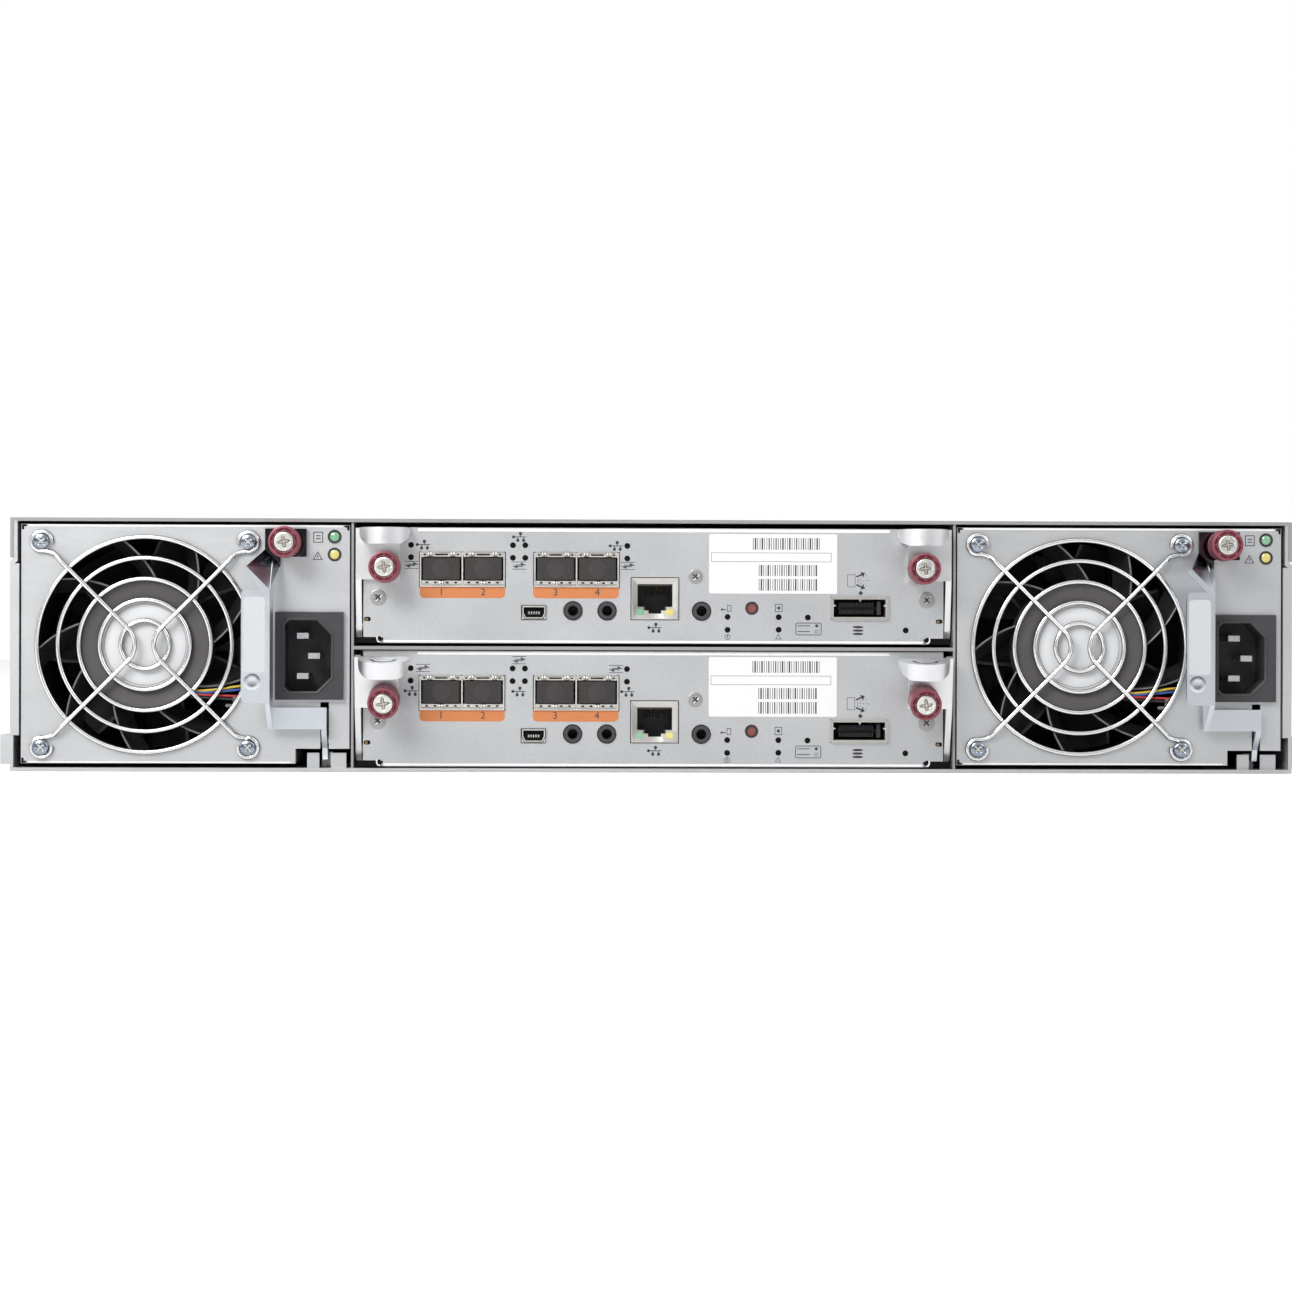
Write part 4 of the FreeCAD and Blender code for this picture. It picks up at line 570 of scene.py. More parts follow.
def lathe(radii: Sequence[float], heights: Sequence[float], sides: int,
          ripple: Callable[[Grid, Grid], Grid] | None = None) -> Grid:
    """Surface of revolution: (r cos t, r sin t, h) for each profile point and each step of t.

    Args:
        radii: the profile's radii; both ends are 0 so that the shell closes.
        heights: the profile's heights.
        sides: steps round.
        ripple: extra radius from (turn, height).

    Returns:
        A grid of points, one row per profile point.
    """
    turn = np.linspace(0.0, 2.0 * math.pi, sides, endpoint=False)[None, :]
    r = np.repeat(np.array(radii, float)[:, None], sides, axis=1)
    h = np.repeat(np.array(heights, float)[:, None], sides, axis=1)
    if ripple is not None:
        r = r + np.where(r > 0.0, ripple(turn + 0.0 * r, h), 0.0)
    return np.stack((r * np.cos(turn), r * np.sin(turn), h), axis=-1)


def prism(outline: Grid, low: float, high: float, chamfer: float = 0.0) -> Grid:
    """Closed slab: the outline carried from low to high, its top edge drawn in by the chamfer.

    Args:
        outline: points (n, 2) round a shape that its own centre sees whole.
        low: height of the back.
        high: height of the front.
        chamfer: width of the sloped edge.

    Returns:
        A grid of rows from the back's centre to the front's centre.
    """
    centre = outline.mean(axis=0)
    reach = np.abs(outline - centre).max(axis=0)
    inner = centre + (outline - centre) * (reach - chamfer) / reach
    pole = 0.0 * outline + centre
    return layers((pole, low), (outline, low), (outline, high - chamfer), (inner, high), (pole, high))


def band(outer: Grid, inner: Grid, low: float, high: float) -> Grid:
    """Closed band between two outlines with the same number of points, from low to high.

    Its four rows are the outer and inner outline at each height; the last joins the first.
    """
    return layers((outer, low), (outer, high), (inner, high), (inner, low), (outer, low))


def torus(radius: float, wire: float, steps: int = 96, sides: int = 12) -> Grid:
    """Closed ring of round wire: ((r + w cos m) cos t, (r + w cos m) sin t, w sin m).

    Args:
        radius: radius of the wire's middle line.
        wire: the wire's radius.
        steps: steps round the ring.
        sides: steps round the wire.

    Returns:
        A grid whose last row repeats the first.
    """
    t = np.linspace(0.0, 2.0 * math.pi, steps + 1)[:, None]
    m = np.linspace(0.0, 2.0 * math.pi, sides, endpoint=False)[None, :]
    reach = radius + wire * np.cos(m)
    return np.stack((reach * np.cos(t), reach * np.sin(t), wire * np.sin(m) + 0.0 * t), axis=-1)


def tube(path: Grid, radius: float, sides: int = 10) -> Grid:
    """Closed tube: a circle square to the path at each of its points, drawn to a point at both ends.

    The circle's two axes are the path's direction crossed with a fixed helper, and with that again.

    Args:
        path: points (n, 3).
        radius: the tube's radius.
        sides: steps round.

    Returns:
        A grid of rows along the path.
    """
    ahead = np.gradient(path, axis=0)
    ahead /= np.linalg.norm(ahead, axis=1, keepdims=True)
    helper = np.array((0.21, 0.37, 0.905))
    first = np.cross(ahead, helper)
    first /= np.linalg.norm(first, axis=1, keepdims=True)
    second = np.cross(ahead, first)
    ring = circle(radius, sides)
    return pointed(path[:, None] + ring[None, :, :1] * first[:, None] + ring[None, :, 1:] * second[:, None])


def blade(section: Grid, root: float, tip: float, turn: Callable[[Grid], Grid], steps: int = 12) -> Grid:
    """Closed blade whose section is wrapped round an axle at each radius.

    A section point (a, h) at radius r lands at the turn of that radius plus a / r, and at height h. Both
    ends are drawn to a point.

    Args:
        section: points (n, 2) round the section: along the turn, and out.
        root: the inner radius.
        tip: the outer radius.
        turn: gives the turn in radians at each radius.
        steps: sections between root and tip.

    Returns:
        A grid of rows from root to tip.
    """
    r = np.linspace(root, tip, steps)[:, None]
    t = turn(r) + section[None, :, 0] / r
    return pointed(np.stack((r * np.cos(t), r * np.sin(t), section[None, :, 1] + 0.0 * r), axis=-1))


def strip(spine: Grid, gauge: float) -> Grid:
    """Section of a bent sheet: the spine moved half the gauge to each side, up one and down the other."""
    shift = np.array((gauge / 2.0, 0.0))
    return np.concatenate((spine + shift, spine[::-1] - shift))


def smooth_path(points: Sequence[Sequence[float]], steps: int = 28) -> Grid:
    """Catmull-Rom curve through a few points: each span blends its four neighbours by cubic weights.

    Args:
        points: the points it passes.
        steps: points per span.

    Returns:
        Points (n, 3).
    """
    p = np.array(points, float)
    p = np.vstack((2 * p[0] - p[1], p, 2 * p[-1] - p[-2]))
    t = np.linspace(0.0, 1.0, steps, endpoint=False)[:, None]
    weights = (-t + 2 * t**2 - t**3, 2 - 5 * t**2 + 3 * t**3, t + 4 * t**2 - 3 * t**3, -t**2 + t**3)
    spans = [sum(w * p[i + k] for k, w in enumerate(weights)) / 2.0 for i in range(len(p) - 3)]
    return np.vstack(spans + [p[-2][None]])


def put(name: str, data: bpy.types.ID) -> bpy.types.Object:
    """Add an object with this data to the scene."""
    made = bpy.data.objects.new(name, data)
    bpy.context.scene.collection.objects.link(made)
    return made


class Mould:
    """Gathers closed shells into one piece that rides on a body."""

    def __init__(self, name: str, body: str, slot: str | None = None) -> None:
        """Start an empty piece.

        Args:
            name: the piece's name.
            body: the body that carries it.
            slot: the record's material slot, where it has one; not used.
        """
        self.name = name
        self.body = body
        self.slot = slot
        self.points: list[Grid] = []
        self.faces: list[Grid] = []
        self.marks: list[Grid] = []
        self.finishes: list[Finish] = []
        self.count = 0

    def _mark(self, finish: Finish) -> int:
        """The slot number of a finish."""
        if finish not in self.finishes:
            self.finishes.append(finish)
        return self.finishes.index(finish)

    def shell(self, seat: Seat, grid: Grid, finish: Finish) -> None:
        """Add a shell whose columns close round, from a grid of local points.

        Face (i, j) joins rows i and i+1 and columns j and j+1, the last column joining the first.

        Args:
            seat: where it sits.
            grid: points (rows, columns, 3).
            finish: its finish.
        """
        rows, columns = grid.shape[:2]
        index = np.arange(rows * columns).reshape(rows, columns) + self.count
        after = np.roll(index, -1, axis=1)
        quads = np.stack((index[:-1], after[:-1], after[1:], index[1:]), axis=-1).reshape(-1, 4)
        self.points.append(seat.set(grid.reshape(-1, 3)))
        self.faces.append(quads)
        self.marks.append(np.full(len(quads), self._mark(finish)))
        self.count += rows * columns

    def slab(self, seat: Seat, plan: Sequence, levels: Sequence[float], finish: Finish) -> None:
        """Add a slab with rounded corners.

        Args:
            seat: where it sits.
            plan: what rounded takes.
            levels: the low and high levels and the chamfer that prism takes.
            finish: its finish.
        """
        self.shell(seat, prism(rounded(*plan), *levels), finish)

    def build(self, crisp: float = 32.0) -> bpy.types.Object:
        """Make the object: merge the poles, face the shells outwards, smooth up to an angle.

        Args:
            crisp: edges sharper than this many degrees stay sharp.

        Returns:
            The piece, riding on its body.
        """
        mesh = bpy.data.meshes.new(self.name)
        mesh.from_pydata(np.vstack(self.points), [], np.vstack(self.faces).tolist())
        mesh.polygons.foreach_set("material_index", np.concatenate(self.marks).astype(np.int32))
        for finish in self.finishes:
            mesh.materials.append(Paint.of(finish))
        work = bmesh.new()
        work.from_mesh(mesh)
        bmesh.ops.remove_doubles(work, verts=work.verts, dist=1e-7)
        bmesh.ops.dissolve_degenerate(work, edges=work.edges, dist=1e-8)
        bmesh.ops.recalc_face_normals(work, faces=work.faces)
        work.to_mesh(mesh)
        work.free()
        mesh.polygons.foreach_set("use_smooth", np.ones(len(mesh.polygons), bool))
        mesh.set_sharp_from_angle(angle=math.radians(crisp))
        made = put(self.name, mesh)
        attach(made, self.body)
        LOG.info("%s: %d faces on %s", self.name, len(mesh.polygons), self.body)
        return made


def numeral(text: str, height: float, seat: Seat, name: str, body: str, finish: Finish,
            thick: float = 0.03) -> bpy.types.Object:
    """A plain number as a thin raised print.

    Args:
        text: the digits.
        height: letter height in millimetres.
        seat: the middle of its foot.
        name: the piece's name.
        body: the body that carries it.
        finish: its finish.
        thick: how far it stands proud in millimetres.

    Returns:
        The piece.
    """
    curve = bpy.data.curves.new(name, "FONT")
    curve.body = text
    curve.align_x = "CENTER"
    curve.size = height / 0.7
    curve.extrude = thick / 2.0
    curve.resolution_u = 3
    holder = put(name + "_line", curve)
    mesh = bpy.data.meshes.new_from_object(holder.evaluated_get(bpy.context.evaluated_depsgraph_get()))
    bpy.data.objects.remove(holder)
    bpy.data.curves.remove(curve)
    flat = np.empty(3 * len(mesh.vertices))
    mesh.vertices.foreach_get("co", flat)
    mesh.vertices.foreach_set("co", seat.set(flat.reshape(-1, 3)).ravel())
    mesh.name = name
    mesh.materials.clear()
    mesh.materials.append(Paint.of(finish))
    made = put(name, mesh)
    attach(made, body)
    LOG.info("%s: number %s on %s", name, text, body)
    return made


def cross_recess(reach: float, width: float, deep: float, edge: float = 0.25,
                 start: float = 45.0) -> Callable[[Grid, Grid], Grid]:
    """Dent of a cross recess: minus deep where the nearer axis is within width and the farther within reach.

    Both limits fade over the edge's width, and the recess is shallower towards its tips.

    Args:
        reach: half the cross's length.
        width: half a slot's width.
        deep: depth at the middle.
        edge: width of the fade.
        start: the first arm's direction in degrees.

    Returns:
        A function of the two flat coordinates.
    """
    def dent(u: Grid, v: Grid) -> Grid:
        """The dent at each point."""
        cosine, sine = math.cos(math.radians(start)), math.sin(math.radians(start))
        a, b = u * cosine + v * sine, u * sine - v * cosine
        near, far = np.minimum(abs(a), abs(b)), np.maximum(abs(a), abs(b))
        across = np.clip((width + edge / 2.0 - near) / edge, 0.0, 1.0)
        along = np.clip((reach - far) / (0.6 * reach), 0.0, 1.0)
        return -deep * across * along
    return dent


def cross_outline(reach: float, half: float, start: float = 45.0) -> Grid:
    """Outline of a cross whose first arm points at start degrees: one arm's three points in four quarter turns."""
    arm = np.array(((reach, -half), (reach, half), (half, half)))
    return np.concatenate([turned(arm, start + 90.0 * quarter) for quarter in range(4)])


# -------------------------------------------------------------- small pieces


@dataclass(frozen=True)
class CrossScrew:
    """Screw head with a cross recess; sizes in millimetres."""

    radius: float = 2.6
    rise: float = 1.3
    crown: float = 0.5
    recess: float = 1.6

    def add(self, mould: Mould, seat: Seat, finish: Finish = Finish.STEEL) -> None:
        """Add the head: a rim that rises, a shoulder, then a shallow dome r*r lower than its middle.

        Args:
            mould: the piece that takes it.
            seat: the middle of its seat.
            finish: its finish.
        """
        share = np.linspace(0.93, 0.0, 13)
        dome = self.rise - self.crown * share**2
        radii = [0.0, self.radius, self.radius, 0.985 * self.radius, *(self.radius * share)]
        heights = [-0.05, -0.05, 0.55 * dome[0], 0.85 * dome[0], *dome]
        dent = cross_recess(self.recess, 0.3 * self.radius / 2.6, 0.62 * self.rise)
        grid = lathe(radii, heights, 48)
        top = grid[4:]
        top[..., 2] += dent(top[..., 0], top[..., 1])
        mould.shell(seat, grid, finish)
        # cross in the recess: near-black painted shade on grey screws, bright nickel on the others
        mould.shell(seat, prism(cross_outline(0.72 * self.recess, 0.1 * self.radius), dome[-1] - 0.6 * self.rise,
                                dome[-1] - 0.12), Finish.RECESS_SHADE if finish is Finish.GREY_SCREW else Finish.NICKEL)


@dataclass(frozen=True)
class Thumbscrew:
    """Captive thumbscrew: knurled grip, rolled rims, bright cap and a plain shank."""

    name: str
    body: str
    node: str
    seat: Seat
    knob_radius: float = 5.5
    knob_length: float = 9.0
    cap_radius: float = 3.3
    cap_rise: float = 0.5
    shank_radius: float = 2.0
    shank_length: float = 5.4
    teeth: int = 60

    def build(self) -> None:
        """Make it in place of its plain node.

        The grip's radius is the knob's less a groove depth times |sin| of the tooth count times half the
        turn. Four arcs are pressed into its face where cos 4t is above a limit.
        """
        length, radius = self.knob_length, self.knob_radius

        def knurl(turn: Grid, height: Grid) -> Grid:
            """Straight grooves over the middle of the grip."""
            inside = (height > 1.15) & (height < length - 0.5)
            return -0.26 * (1.0 - np.abs(np.sin(self.teeth * turn / 2.0))) * inside

        along = np.linspace(1.2, length - 0.75, 6)
        face = np.linspace(radius - 0.62, self.cap_radius + 0.5, 11)
        radii = [0.0, radius - 0.5, radius - 0.12, radius - 0.05, radius - 0.4, *(0.0 * along + radius - 0.04),
                 radius - 0.04, radius - 0.12, *face, self.cap_radius + 0.3, self.cap_radius + 0.2, 0.0]
        heights = [0.0, 0.0, 0.25, 0.85, 1.0, *along, length - 0.6, length - 0.2, *(0.0 * face + length),
                   length - 0.1, length - 1.7, length - 1.7]
        grip = lathe(radii, heights, 4 * self.teeth, knurl)
        u, v = grip[..., 0], grip[..., 1]
        ring = np.clip(1.0 - np.abs(np.hypot(u, v) - 4.35) / 0.32, 0.0, 1.0)
        arcs = np.clip(2.0 * (np.cos(4.0 * np.arctan2(v, u)) + 0.55), 0.0, 1.0)
        grip[..., 2] -= 0.3 * ring * arcs * (grip[..., 2] > length - 0.15)
        mould = Mould(self.name, self.body, "screw_red")
        mould.shell(self.seat, grip, Finish.BURGUNDY)
        share = np.linspace(0.9, 0.0, 16)
        top = length + self.cap_rise
        cap_radii = [0.0, self.cap_radius, self.cap_radius, *(self.cap_radius * share)]
        cap_heights = [length - 1.75, length - 1.75, top - 0.25, *(top - 0.1 * share**2)]
        cap = lathe(cap_radii, cap_heights, 72)
        dent = cross_recess(0.78 * self.cap_radius, 0.42, 1.3, 0.2, 8.0)
        cap[3:, :, 2] += dent(cap[3:, :, 0], cap[3:, :, 1])
        mould.shell(self.seat, cap, Finish.CAP)
        mould.shell(self.seat, prism(cross_outline(0.5 * self.cap_radius, 0.3, 8.0), top - 0.9, top - 0.16),
                    Finish.STRAW)
        # dark red arcs in the face's pressed grooves: painted shade
        marks = Marks(mould, Finish.GROOVE_SHADE)
        for start in range(6, 366, 45):
            marks.arc(self.seat.moved(out=length), radius - 1.3, 0.5, start, start + 33.0)
        s, end = self.shank_radius, -self.shank_length
        mould.shell(self.seat, lathe([0.0, s, s, s - 0.3, 0.0], [0.2, 0.2, end + 0.3, end, end], 32), Finish.STEEL)
        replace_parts(mould.build(), self.node)


@dataclass(frozen=True)
class Lamp:
    """Round status lamp: dark ring with a domed lens."""

    ring: float = 2.4
    lens: float = 1.65

    def add(self, mould: Mould, seat: Seat, finish: Finish) -> None:
        """Add the ring as a low lathe and the lens as a dome h = h0 (1 - r*r).

        Args:
            mould: the piece that takes it.
            seat: its middle on the face.
            finish: the lens's finish.
        """
        r, q = self.ring, self.lens
        mould.shell(seat, band(circle(r, 40), circle(q, 40), -0.2, 0.25), Finish.BLACK)
        share = np.linspace(1.0, 0.0, 8)
        mould.shell(seat, lathe([0.0, q - 0.02, *((q - 0.02) * share)], [-0.2, -0.2, *(0.1 + 0.45 * (1 - share**2))],
                                40), finish)


class Marks:
    """Thin printed marks on a face: each is a slab a few hundredths of a millimetre proud."""

    def __init__(self, mould: Mould, finish: Finish = Finish.INK, proud: float = 0.035) -> None:
        """Choose the piece, ink and height.

        Args:
            mould: the piece that takes the marks.
            finish: the ink.
            proud: how far they stand off the face in millimetres.
        """
        self.mould = mould
        self.finish = finish
        self.proud = proud

    def slab(self, seat: Seat, outline: Grid) -> None:
        """A filled outline."""
        self.mould.shell(seat, prism(outline, BACK, self.proud), self.finish)

    def bar(self, seat: Seat, right: float, up: float, width: float, height: float, corner: float = 0.0) -> None:
        """A filled rectangle about a point of the face."""
        self.slab(seat.moved(right, up), rounded(width, height, corner, 4 if corner else 2))

    def frame(self, seat: Seat, right: float, up: float, width: float, height: float, line: float,
              corner: float = 0.0) -> None:
        """An outlined rectangle about a point of the face."""
        steps = 4 if corner else 2
        outer = rounded(width, height, corner, steps)
        inner = rounded(width - 2 * line, height - 2 * line, max(corner - line, 0.0), steps)
        self.mould.shell(seat.moved(right, up), band(outer, inner, BACK, self.proud), self.finish)

    def dot(self, seat: Seat, right: float, up: float, radius: float) -> None:
        """A filled disc about a point of the face."""
        self.slab(seat.moved(right, up), circle(radius, 24))

    def ring(self, seat: Seat, right: float, up: float, radius: float, line: float) -> None:
        """An outlined circle about a point of the face."""
        both = circle(radius, 32), circle(radius - line, 32)
        self.mould.shell(seat.moved(right, up), band(*both, BACK, self.proud), self.finish)

    def arc(self, seat: Seat, radius: float, width: float, start: float, stop: float) -> None:
        """Part of a ring, from one turn in degrees to another: a flat bar's section carried round a circle."""
        turn = np.radians(np.linspace(start, stop, 17))[:, None]
        reach = radius + np.array((-0.5, 0.5, 0.5, -0.5))[None, :] * width
        level = np.array((BACK, BACK, self.proud, self.proud))[None, :] + 0.0 * turn
        rows = np.stack((reach * np.cos(turn), reach * np.sin(turn), level), axis=-1)
        self.mould.shell(seat, pointed(rows), self.finish)

    def triangle(self, seat: Seat, right: float, up: float, half: float, line: float = 0.0) -> None:
        """An upright triangle, filled or outlined."""
        corners = np.array(((-1.0, -0.577), (1.0, -0.577), (0.0, 1.155)))
        place = seat.moved(right, up)
        if line:
            inner = corners * (half - 1.732 * line)
            self.mould.shell(place, band(corners * half, inner, BACK, self.proud), self.finish)
        else:
            self.slab(place, corners * half)

    def arrow(self, seat: Seat, right: float, up: float, length: float, turn: float = 0.0) -> None:
        """A stem and a head, turned by some degrees from pointing right."""
        stem = np.array(((-0.5, -0.08), (0.15, -0.08), (0.15, 0.08), (-0.5, 0.08))) * length
        head = np.array(((0.1, -0.3), (0.5, 0.0), (0.1, 0.3))) * length
        for flat in (stem, head):
            self.slab(seat.moved(right, up), turned(flat, turn))

    def network(self, seat: Seat, right: float, up: float) -> None:
        """One node above a line and two below it, with a dot at the line's left end."""
        self.bar(seat, right + 0.35, up + 1.15, 1.05, 1.1, 0.25)
        self.bar(seat, right, up, 4.8, 0.26)
        self.bar(seat, right + 0.35, up + 0.4, 0.3, 0.8)
        self.dot(seat, right - 2.1, up, 0.52)
        for side in (-0.6, 1.4):
            self.bar(seat, right + side, up - 0.4, 0.28, 0.8)
            self.bar(seat, right + side, up - 1.2, 1.0, 1.1, 0.3)

    def exchange(self, seat: Seat, right: float, up: float) -> None:
        """Two half-headed arrows the opposite ways between two lines."""
        self.bar(seat, right, up + 1.25, 4.9, 0.2)
        self.bar(seat, right, up - 1.25, 4.9, 0.2)
        stem = np.array(((-1.5, 0.08), (1.0, 0.08), (1.0, 0.36), (-1.5, 0.36)))
        head = np.array(((0.4, 0.08), (2.4, 0.08), (0.4, 1.05)))
        for turn in (1.0, -1.0):
            for flat in (stem, head):
                self.slab(seat.moved(right + 0.15 * turn, up), flat * turn)


# ------------------------------------------------------------- sub-assemblies


@dataclass
class Assembly:
    """A sub-assembly whose nodes and bodies begin with its own name."""

    name: str

    def mould(self, part: str, slot: str | None = None, body: str = "module") -> Mould:
        """An empty piece on one of its bodies."""
        return Mould(f"{self.name}_{part}", f"{self.name}_{body}", slot)

    def dress(self, **finishes: Finish) -> None:
        """Give its CAD nodes their finishes."""
        for part, finish in finishes.items():
            Paint.dress(f"{self.name}_{part}", finish)

    def swap(self, mould: Mould, part: str) -> None:
        """Build a piece in place of a CAD node."""
        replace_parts(mould.build(), f"{self.name}_{part}")


@dataclass
class PowerModule(Assembly):
    """One power module: fan behind its guard, mains inlet, bail handle, lamps and thumbscrew."""

    fan_side: float = -14.0
    fan_height: float = 44.0
    guard_pitch: float = 71.5
    guard_wire: float = 1.6
    ring_outer: float = 37.4
    ring_pitch: float = 7.25
    rings: int = 5
    loop_radius: float = 3.4
    spoke_vertex: float = 3.3
    hub_radius: float = 23.0
    hub_depth: float = 12.0
    disc_radius: float = 15.2
    bore_radius: float = 37.8
    vanes: int = 9
    vane_first: float = 0.0
    vane_sweep: float = 24.0
    vane_spine: tuple[Pair, ...] = ((0.0, -0.2), (0.9, -3.5), (2.6, -7.0), (5.2, -10.8))
    blades: int = 7
    blade_first: float = 85.0
    blade_sweep: float = 9.0
    blade_tip: float = 36.5
    cup_radius: float = 20.0
    blade_spine: tuple[Pair, ...] = ((0.0, -1.0), (-3.4, -5.0), (-7.6, -10.0), (-12.0, -15.0), (-16.0, -19.0))
    dimple_side: float = 18.9
    dimple_turns: Pair = (172.0, 352.0)
    lamp_side: float = 51.6
    lamp_heights: Pair = (81.7, 75.5)
    knob_side: float = 35.2
    knob_height: float = 79.5
    knob_out: float = 5.7
    mouth: Pair = (16.6, 25.2)
    mouth_side: float = -0.4
    mouth_cut: float = 5.0
    grip_side: float = 25.3
    grip_middle: float = 47.5
    step_side: float = 38.2
    centre: float = field(init=False)
    face: float = field(init=False)

    def __post_init__(self) -> None:
        """Read the module's middle and face from its case."""
        low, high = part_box(f"{self.name}_case")
        self.centre = (low.x + high.x) / 2.0 / MM
        self.face = low.y / MM

    def seat(self, side: float, height: float, out: float = 0.0) -> Seat:
        """A spot on the module's face, counted from its middle."""
        return Seat(self.centre + side, self.face - out, height)

    def fan_seat(self, part: str) -> Seat:
        """The middle of a fan node's front."""
        return Seat(self.centre + self.fan_side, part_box(f"{self.name}_{part}")[0].y / MM, self.fan_height)

    def guard_screws(self) -> None:
        """Four cross screws over the guard's eyes."""
        mould = self.mould("guard_screws", "bright_wire")
        half = self.guard_pitch / 2.0
        for side in (-half, half):
            for rise in (-half, half):
                seat = self.seat(self.fan_side + side, self.fan_height + rise, self.guard_wire)
                # heads coloured blue-grey: painted reflection
                CrossScrew().add(mould, seat, Finish.HEAD)
        mould.build()

    def trim(self) -> None:
        """Painted highlights of the bent edges, and small near-black marks at the face's corners: painted shade of the
        corner notches.
        """
        low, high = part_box(f"{self.name}_case")
        width, foot, head = (high.x - low.x) / MM, low.z / MM, high.z / MM
        mould = self.mould("trim", "zinc_sheet")
        left = -width / 2.0 + 2.4
        # pale strips on the top and bottom bends: painted highlight
        for height, tall, right in ((head - 0.45, 0.6, width / 2.0 - 2.4), (foot + 0.4, 0.5, self.step_side - 1.5)):
            mould.slab(self.seat((left + right) / 2.0, height), (right - left, tall, 0.25, 3), (-0.1, 0.1, 0.08),
                       Finish.BEND)
        # near-black corner marks: painted shade of the notches
        marks = Marks(mould, Finish.HOLE_SHADE, 0.04)
        for side, height in ((-1.0, head), (1.0, head), (-1.0, foot)):
            away = 1.0 if height == head else -1.0
            place = self.seat(side * (width / 2.0 - 1.0), height - 0.8 * away)
            marks.bar(place, 0.0, 0.35 * away, 1.8, 0.7, 0.3)
            marks.bar(place, 0.45 * side, -0.3 * away, 0.8, 1.6, 0.3)
        mould.build()

    def guard(self) -> None:
        """Round wire guard: five rings, and two bent spokes whose ends loop round the screws.

        A spoke runs along both diagonals, and its bend is an arc that touches them.
        """
        wire = self.guard_wire / 2.0
        seat = self.seat(self.fan_side, self.fan_height)
        mould = self.mould("wire_guard", "bright_wire")
        for index in range(self.rings):
            mould.shell(seat.moved(out=wire), torus(self.ring_outer - index * self.ring_pitch, wire), Finish.CHROME)
        corner, loop, low, high = self.guard_pitch / 2.0, self.loop_radius, wire, 3.0 * wire
        bend = self.spoke_vertex / (math.sqrt(2.0) - 1.0)
        middle = self.spoke_vertex + bend

        def half(side: int, level: int) -> list[tuple[float, float, float]]:
            """Points from a screw's loop to the start of the bend."""
            inward = math.atan2(-level, -side)
            turns = inward + level * side * np.radians(np.linspace(325.0, 30.0, 13))
            ring = [(side * corner + loop * math.cos(t), level * corner + loop * math.sin(t), low) for t in turns]
            root = math.sqrt(0.5)
            run = [(d, h) for d, h in ((corner / root - loop - 2.6, low + 0.3), (corner / root - loop - 6.0, high),
                                       (30.0, high), (18.0, high), (bend, high))]
            return ring + [(side * d * root, level * d * root, h) for d, h in run]

        for side in (-1, 1):
            turns = np.radians(np.linspace(30.0, -30.0, 5))
            arc = [(side * (middle - bend * math.cos(t)), bend * math.sin(t), high) for t in turns]
            path = half(side, 1) + arc + half(side, -1)[::-1]
            mould.shell(seat, tube(smooth_path(path, 6), wire, 12), Finish.CHROME)
        self.swap(mould, "fan_guard")

    def fan(self) -> None:
        """Fan frame with its guide vanes, and the rotor behind it, in place of their plain nodes.

        A vane's turn grows with its share s of the way from hub to bore as sweep * (1.15 s - 0.15 s * s),
        and its sheet leans over with depth. A rotor blade leans the other way.
        """
        low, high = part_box(f"{self.name}_fan_frame")
        seat = self.fan_seat("fan_frame")
        depth, half = (high.y - low.y) / MM, (high.x - low.x) / 2.0 / MM
        mould = self.mould("fan_body", "black_plastic")
        ring = circle(1.0, 96)
        square = ring / np.abs(ring).max(axis=1, keepdims=True)
        mould.shell(seat, band(square * half, ring * self.bore_radius, -depth, 0.0), Finish.FAN)
        r = self.hub_radius
        mould.shell(seat, lathe([0.0, r, r, 0.0], [-self.hub_depth, -self.hub_depth, 0.0, 0.0], 96), Finish.HUB)
        root, span = r - 0.6, self.bore_radius - r + 1.2

        def sweep(radius: Grid) -> Grid:
            """Turn of a vane beyond its root."""
            share = (radius - root) / span
            return np.radians(self.vane_sweep) * (1.15 * share - 0.15 * share**2)

        section = strip(np.array(self.vane_spine), 1.0)
        for index in range(self.vanes):
            start = math.radians(self.vane_first + 360.0 * index / self.vanes)
            mould.shell(seat, blade(section, root, root + span, lambda radius: start + sweep(radius)), Finish.FAN)
            # pale tube along each vane's front edge: painted highlight
            radius = np.linspace(r, self.bore_radius, 14)
            turn = start + sweep(radius)
            edge = np.stack((radius * np.cos(turn), radius * np.sin(turn), 0.0 * radius - 0.25), axis=-1)
            mould.shell(seat, tube(edge, 0.3, 8), Finish.EDGE)
        self.swap(mould, "fan_frame")
        low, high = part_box(f"{self.name}_fan_rotor")
        seat = self.fan_seat("fan_rotor")
        depth, c, tip = (high.y - low.y) / MM, self.cup_radius, self.blade_tip
        mould = self.mould("fan_wheel", "black_plastic", "fan_rotor")
        mould.shell(seat, lathe([0.0, c, c, c - 0.8, 0.0], [-depth, -depth, -0.8, 0.0, 0.0], 72), Finish.FAN)
        section = strip(smooth_path([(*spot, 0.0) for spot in self.blade_spine], 3)[:, :2], 1.1)
        for index in range(self.blades):
            start = math.radians(self.blade_first - 360.0 * index / self.blades)

            def lean(radius: Grid) -> Grid:
                """Turn of a blade, greatest at its root."""
                return start + np.radians(self.blade_sweep) * (tip - radius) / (tip - c)

            mould.shell(seat, blade(section, c - 0.6, tip, lean), Finish.ROTOR)
        self.swap(mould, "fan_rotor")

